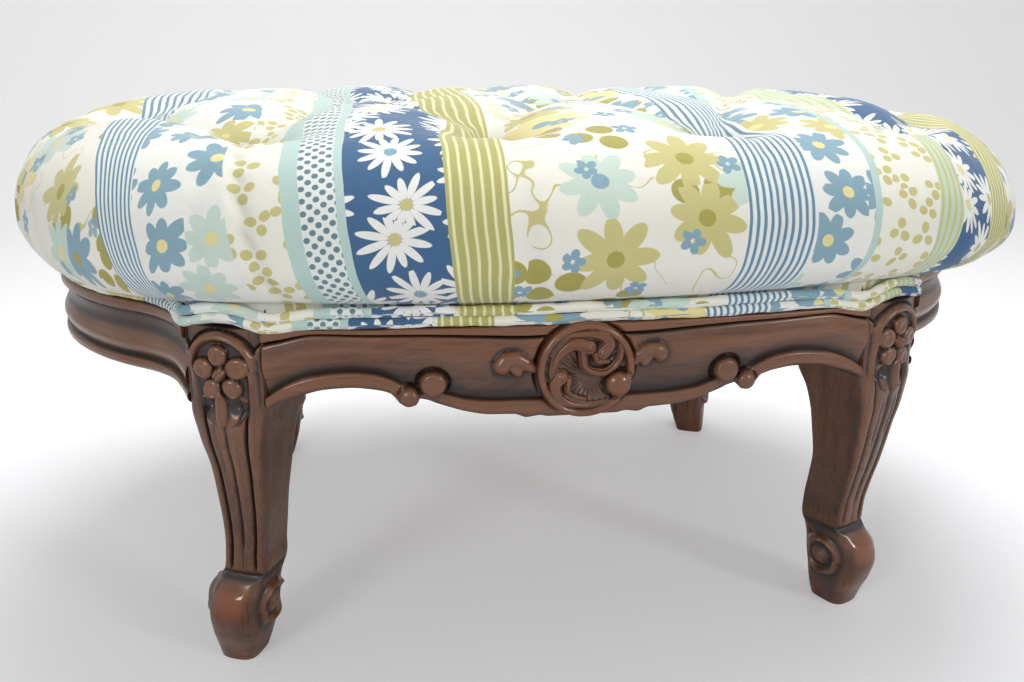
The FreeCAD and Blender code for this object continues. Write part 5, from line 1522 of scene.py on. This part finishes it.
dowels = []
end_course = np.array([math.sin(END_LEAVE), math.cos(END_LEAVE)])
end_joint = END_SEAM - 13.0 * END_NORMAL
front_joint = FRONT_SEAM + [0, 14.5]
for joint, course, bite in ((front_joint, np.array([-1.0, 0.0]), 15.0), (end_joint, end_course, 8.0)):
    for height in DOWEL_HEIGHTS:
        start = np.append(joint - course * bite, height)
        for sign_x, sign_y in CORNERS.values():
            turned_start = start * [sign_x, sign_y, 1]
            dowels.append(dowel_points(turned_start, course * [sign_x, sign_y], bite + 28.0))
BIRCH = simple_material("birch", tint(0.72, 0.60, 0.42), tint(0.84, 0.73, 0.55), 60.0, 0.5)
fitted(tubes_piece("birch_dowels", dowels), BIRCH, "birch", "rail_dowels")

PINE = simple_material("pine", tint(0.66, 0.50, 0.31), tint(0.80, 0.66, 0.44), 90.0, 0.6)
STEEL = simple_material("bright steel", tint(0.52, 0.52, 0.53), tint(0.66, 0.66, 0.66), 900.0, 0.35,
                        grain=0.2, metallic=1.0)
BLUED_STEEL = simple_material("blued steel", tint(0.10, 0.11, 0.14), tint(0.20, 0.21, 0.25), 900.0, 0.4,
                              grain=0.2, metallic=1.0)
finishes = {name: PINE for name in nodes if name.startswith("glue_block")}
finishes |= {"glue_block_screws": STEEL, "webbing_tacks": BLUED_STEEL, "tufting_twines": TWINE}
for name, finish in finishes.items():
    for place in nodes[name].material_slots:
        place.material = finish


# Camera, light and studio

camera = bpy.data.objects.new("camera", bpy.data.cameras.new("camera"))
camera.data.lens = 33.28
camera.data.sensor_width = 36.0
CAMERA_PLACE = (-0.1364, -0.7882, 0.4300)
yaw, pitch, roll = 0.1643, 0.3146, 0.0067
look = Vector((math.sin(yaw) * math.cos(pitch), math.cos(yaw) * math.cos(pitch), -math.sin(pitch)))
level = Vector((math.cos(yaw), -math.sin(yaw), 0))
rise = level.cross(look)
side_axis = level * math.cos(roll) + rise * math.sin(roll)
up_axis = rise * math.cos(roll) - level * math.sin(roll)
turned = Matrix((side_axis, up_axis, -look)).transposed()
camera.matrix_world = Matrix.Translation(CAMERA_PLACE) @ turned.to_4x4()
bpy.context.scene.collection.objects.link(camera)
bpy.context.scene.camera = camera
STOOL_MIDDLE = Vector((0, 0, 0.2))


def lamp(name, place, size, power):
    """A soft square lamp that faces the stool's middle."""
    light = bpy.data.lights.new(name, "AREA")
    light.size = size
    light.energy = power
    made = bpy.data.objects.new(name, light)
    made.location = place
    made.rotation_euler = (STOOL_MIDDLE - Vector(place)).to_track_quat("-Z", "Y").to_euler()
    bpy.context.scene.collection.objects.link(made)


lamp("overhead", (0.15, 0.25, 1.6), 0.9, 19)
lamp("front_left", (-1.2, -1.6, 1.0), 0.5, 8)
lamp("front_right", (1.2, -1.5, 0.9), 0.3, 6)
FLOOR_GLOW = 0.2554


def studio():
    """A wide floor that turns up into a wall behind: a profile of two straights and a quarter turn."""
    bend = np.linspace(0, math.pi / 2, 24)
    profile_y = np.concatenate([[-6000.0], 1500 + 900 * np.sin(bend), [2400.0]])
    profile_z = np.concatenate([[0.0], 900 * (1 - np.cos(bend)), [5000.0]])
    x = np.linspace(-6000, 6000, 9)
    points = np.stack(np.broadcast_arrays(x[None], profile_y[:, None], profile_z[:, None]), -1)
    piece = grid_piece("studio_floor", points, sharp=180)
    material, tree, shader = new_material("studio paper")
    # Painted shade: the paper is darker towards the front, where the stool's shadow falls, and lighter
    # behind.
    far = between(apart(place_node(tree, "ShaderNodeTexCoord").outputs["Object"])[1], -0.6, 0.9)
    colour = blend(far, tint(0.86, 0.865, 0.885), tint(0.97, 0.97, 0.975))
    tree.links.new(colour, shader.inputs["Base Color"])
    finish_of(shader, Roughness=0.6, Emission_Color=(1, 1, 1, 1))
    seen = place_node(tree, "ShaderNodeLightPath").outputs["Is Camera Ray"]
    tree.links.new(times(seen, FLOOR_GLOW), shader.inputs["Emission Strength"])
    piece.data.materials.append(material)


studio()

world = bpy.data.worlds.new("studio light")
world.use_nodes = True
tree = world.node_tree
background = tree.nodes["Background"]
background.inputs[0].default_value = (1, 1, 1, 1)
ray = place_node(tree, "ShaderNodeLightPath").outputs
AMBIENT = 0.38
seen = plus(ray["Is Camera Ray"], times(ray["Is Glossy Ray"], 0.6), clamp=True)
tree.links.new(plus(times(seen, 1 - AMBIENT), AMBIENT), background.inputs[1])
bpy.context.scene.world = world
bpy.context.scene.view_settings.view_transform = "Standard"
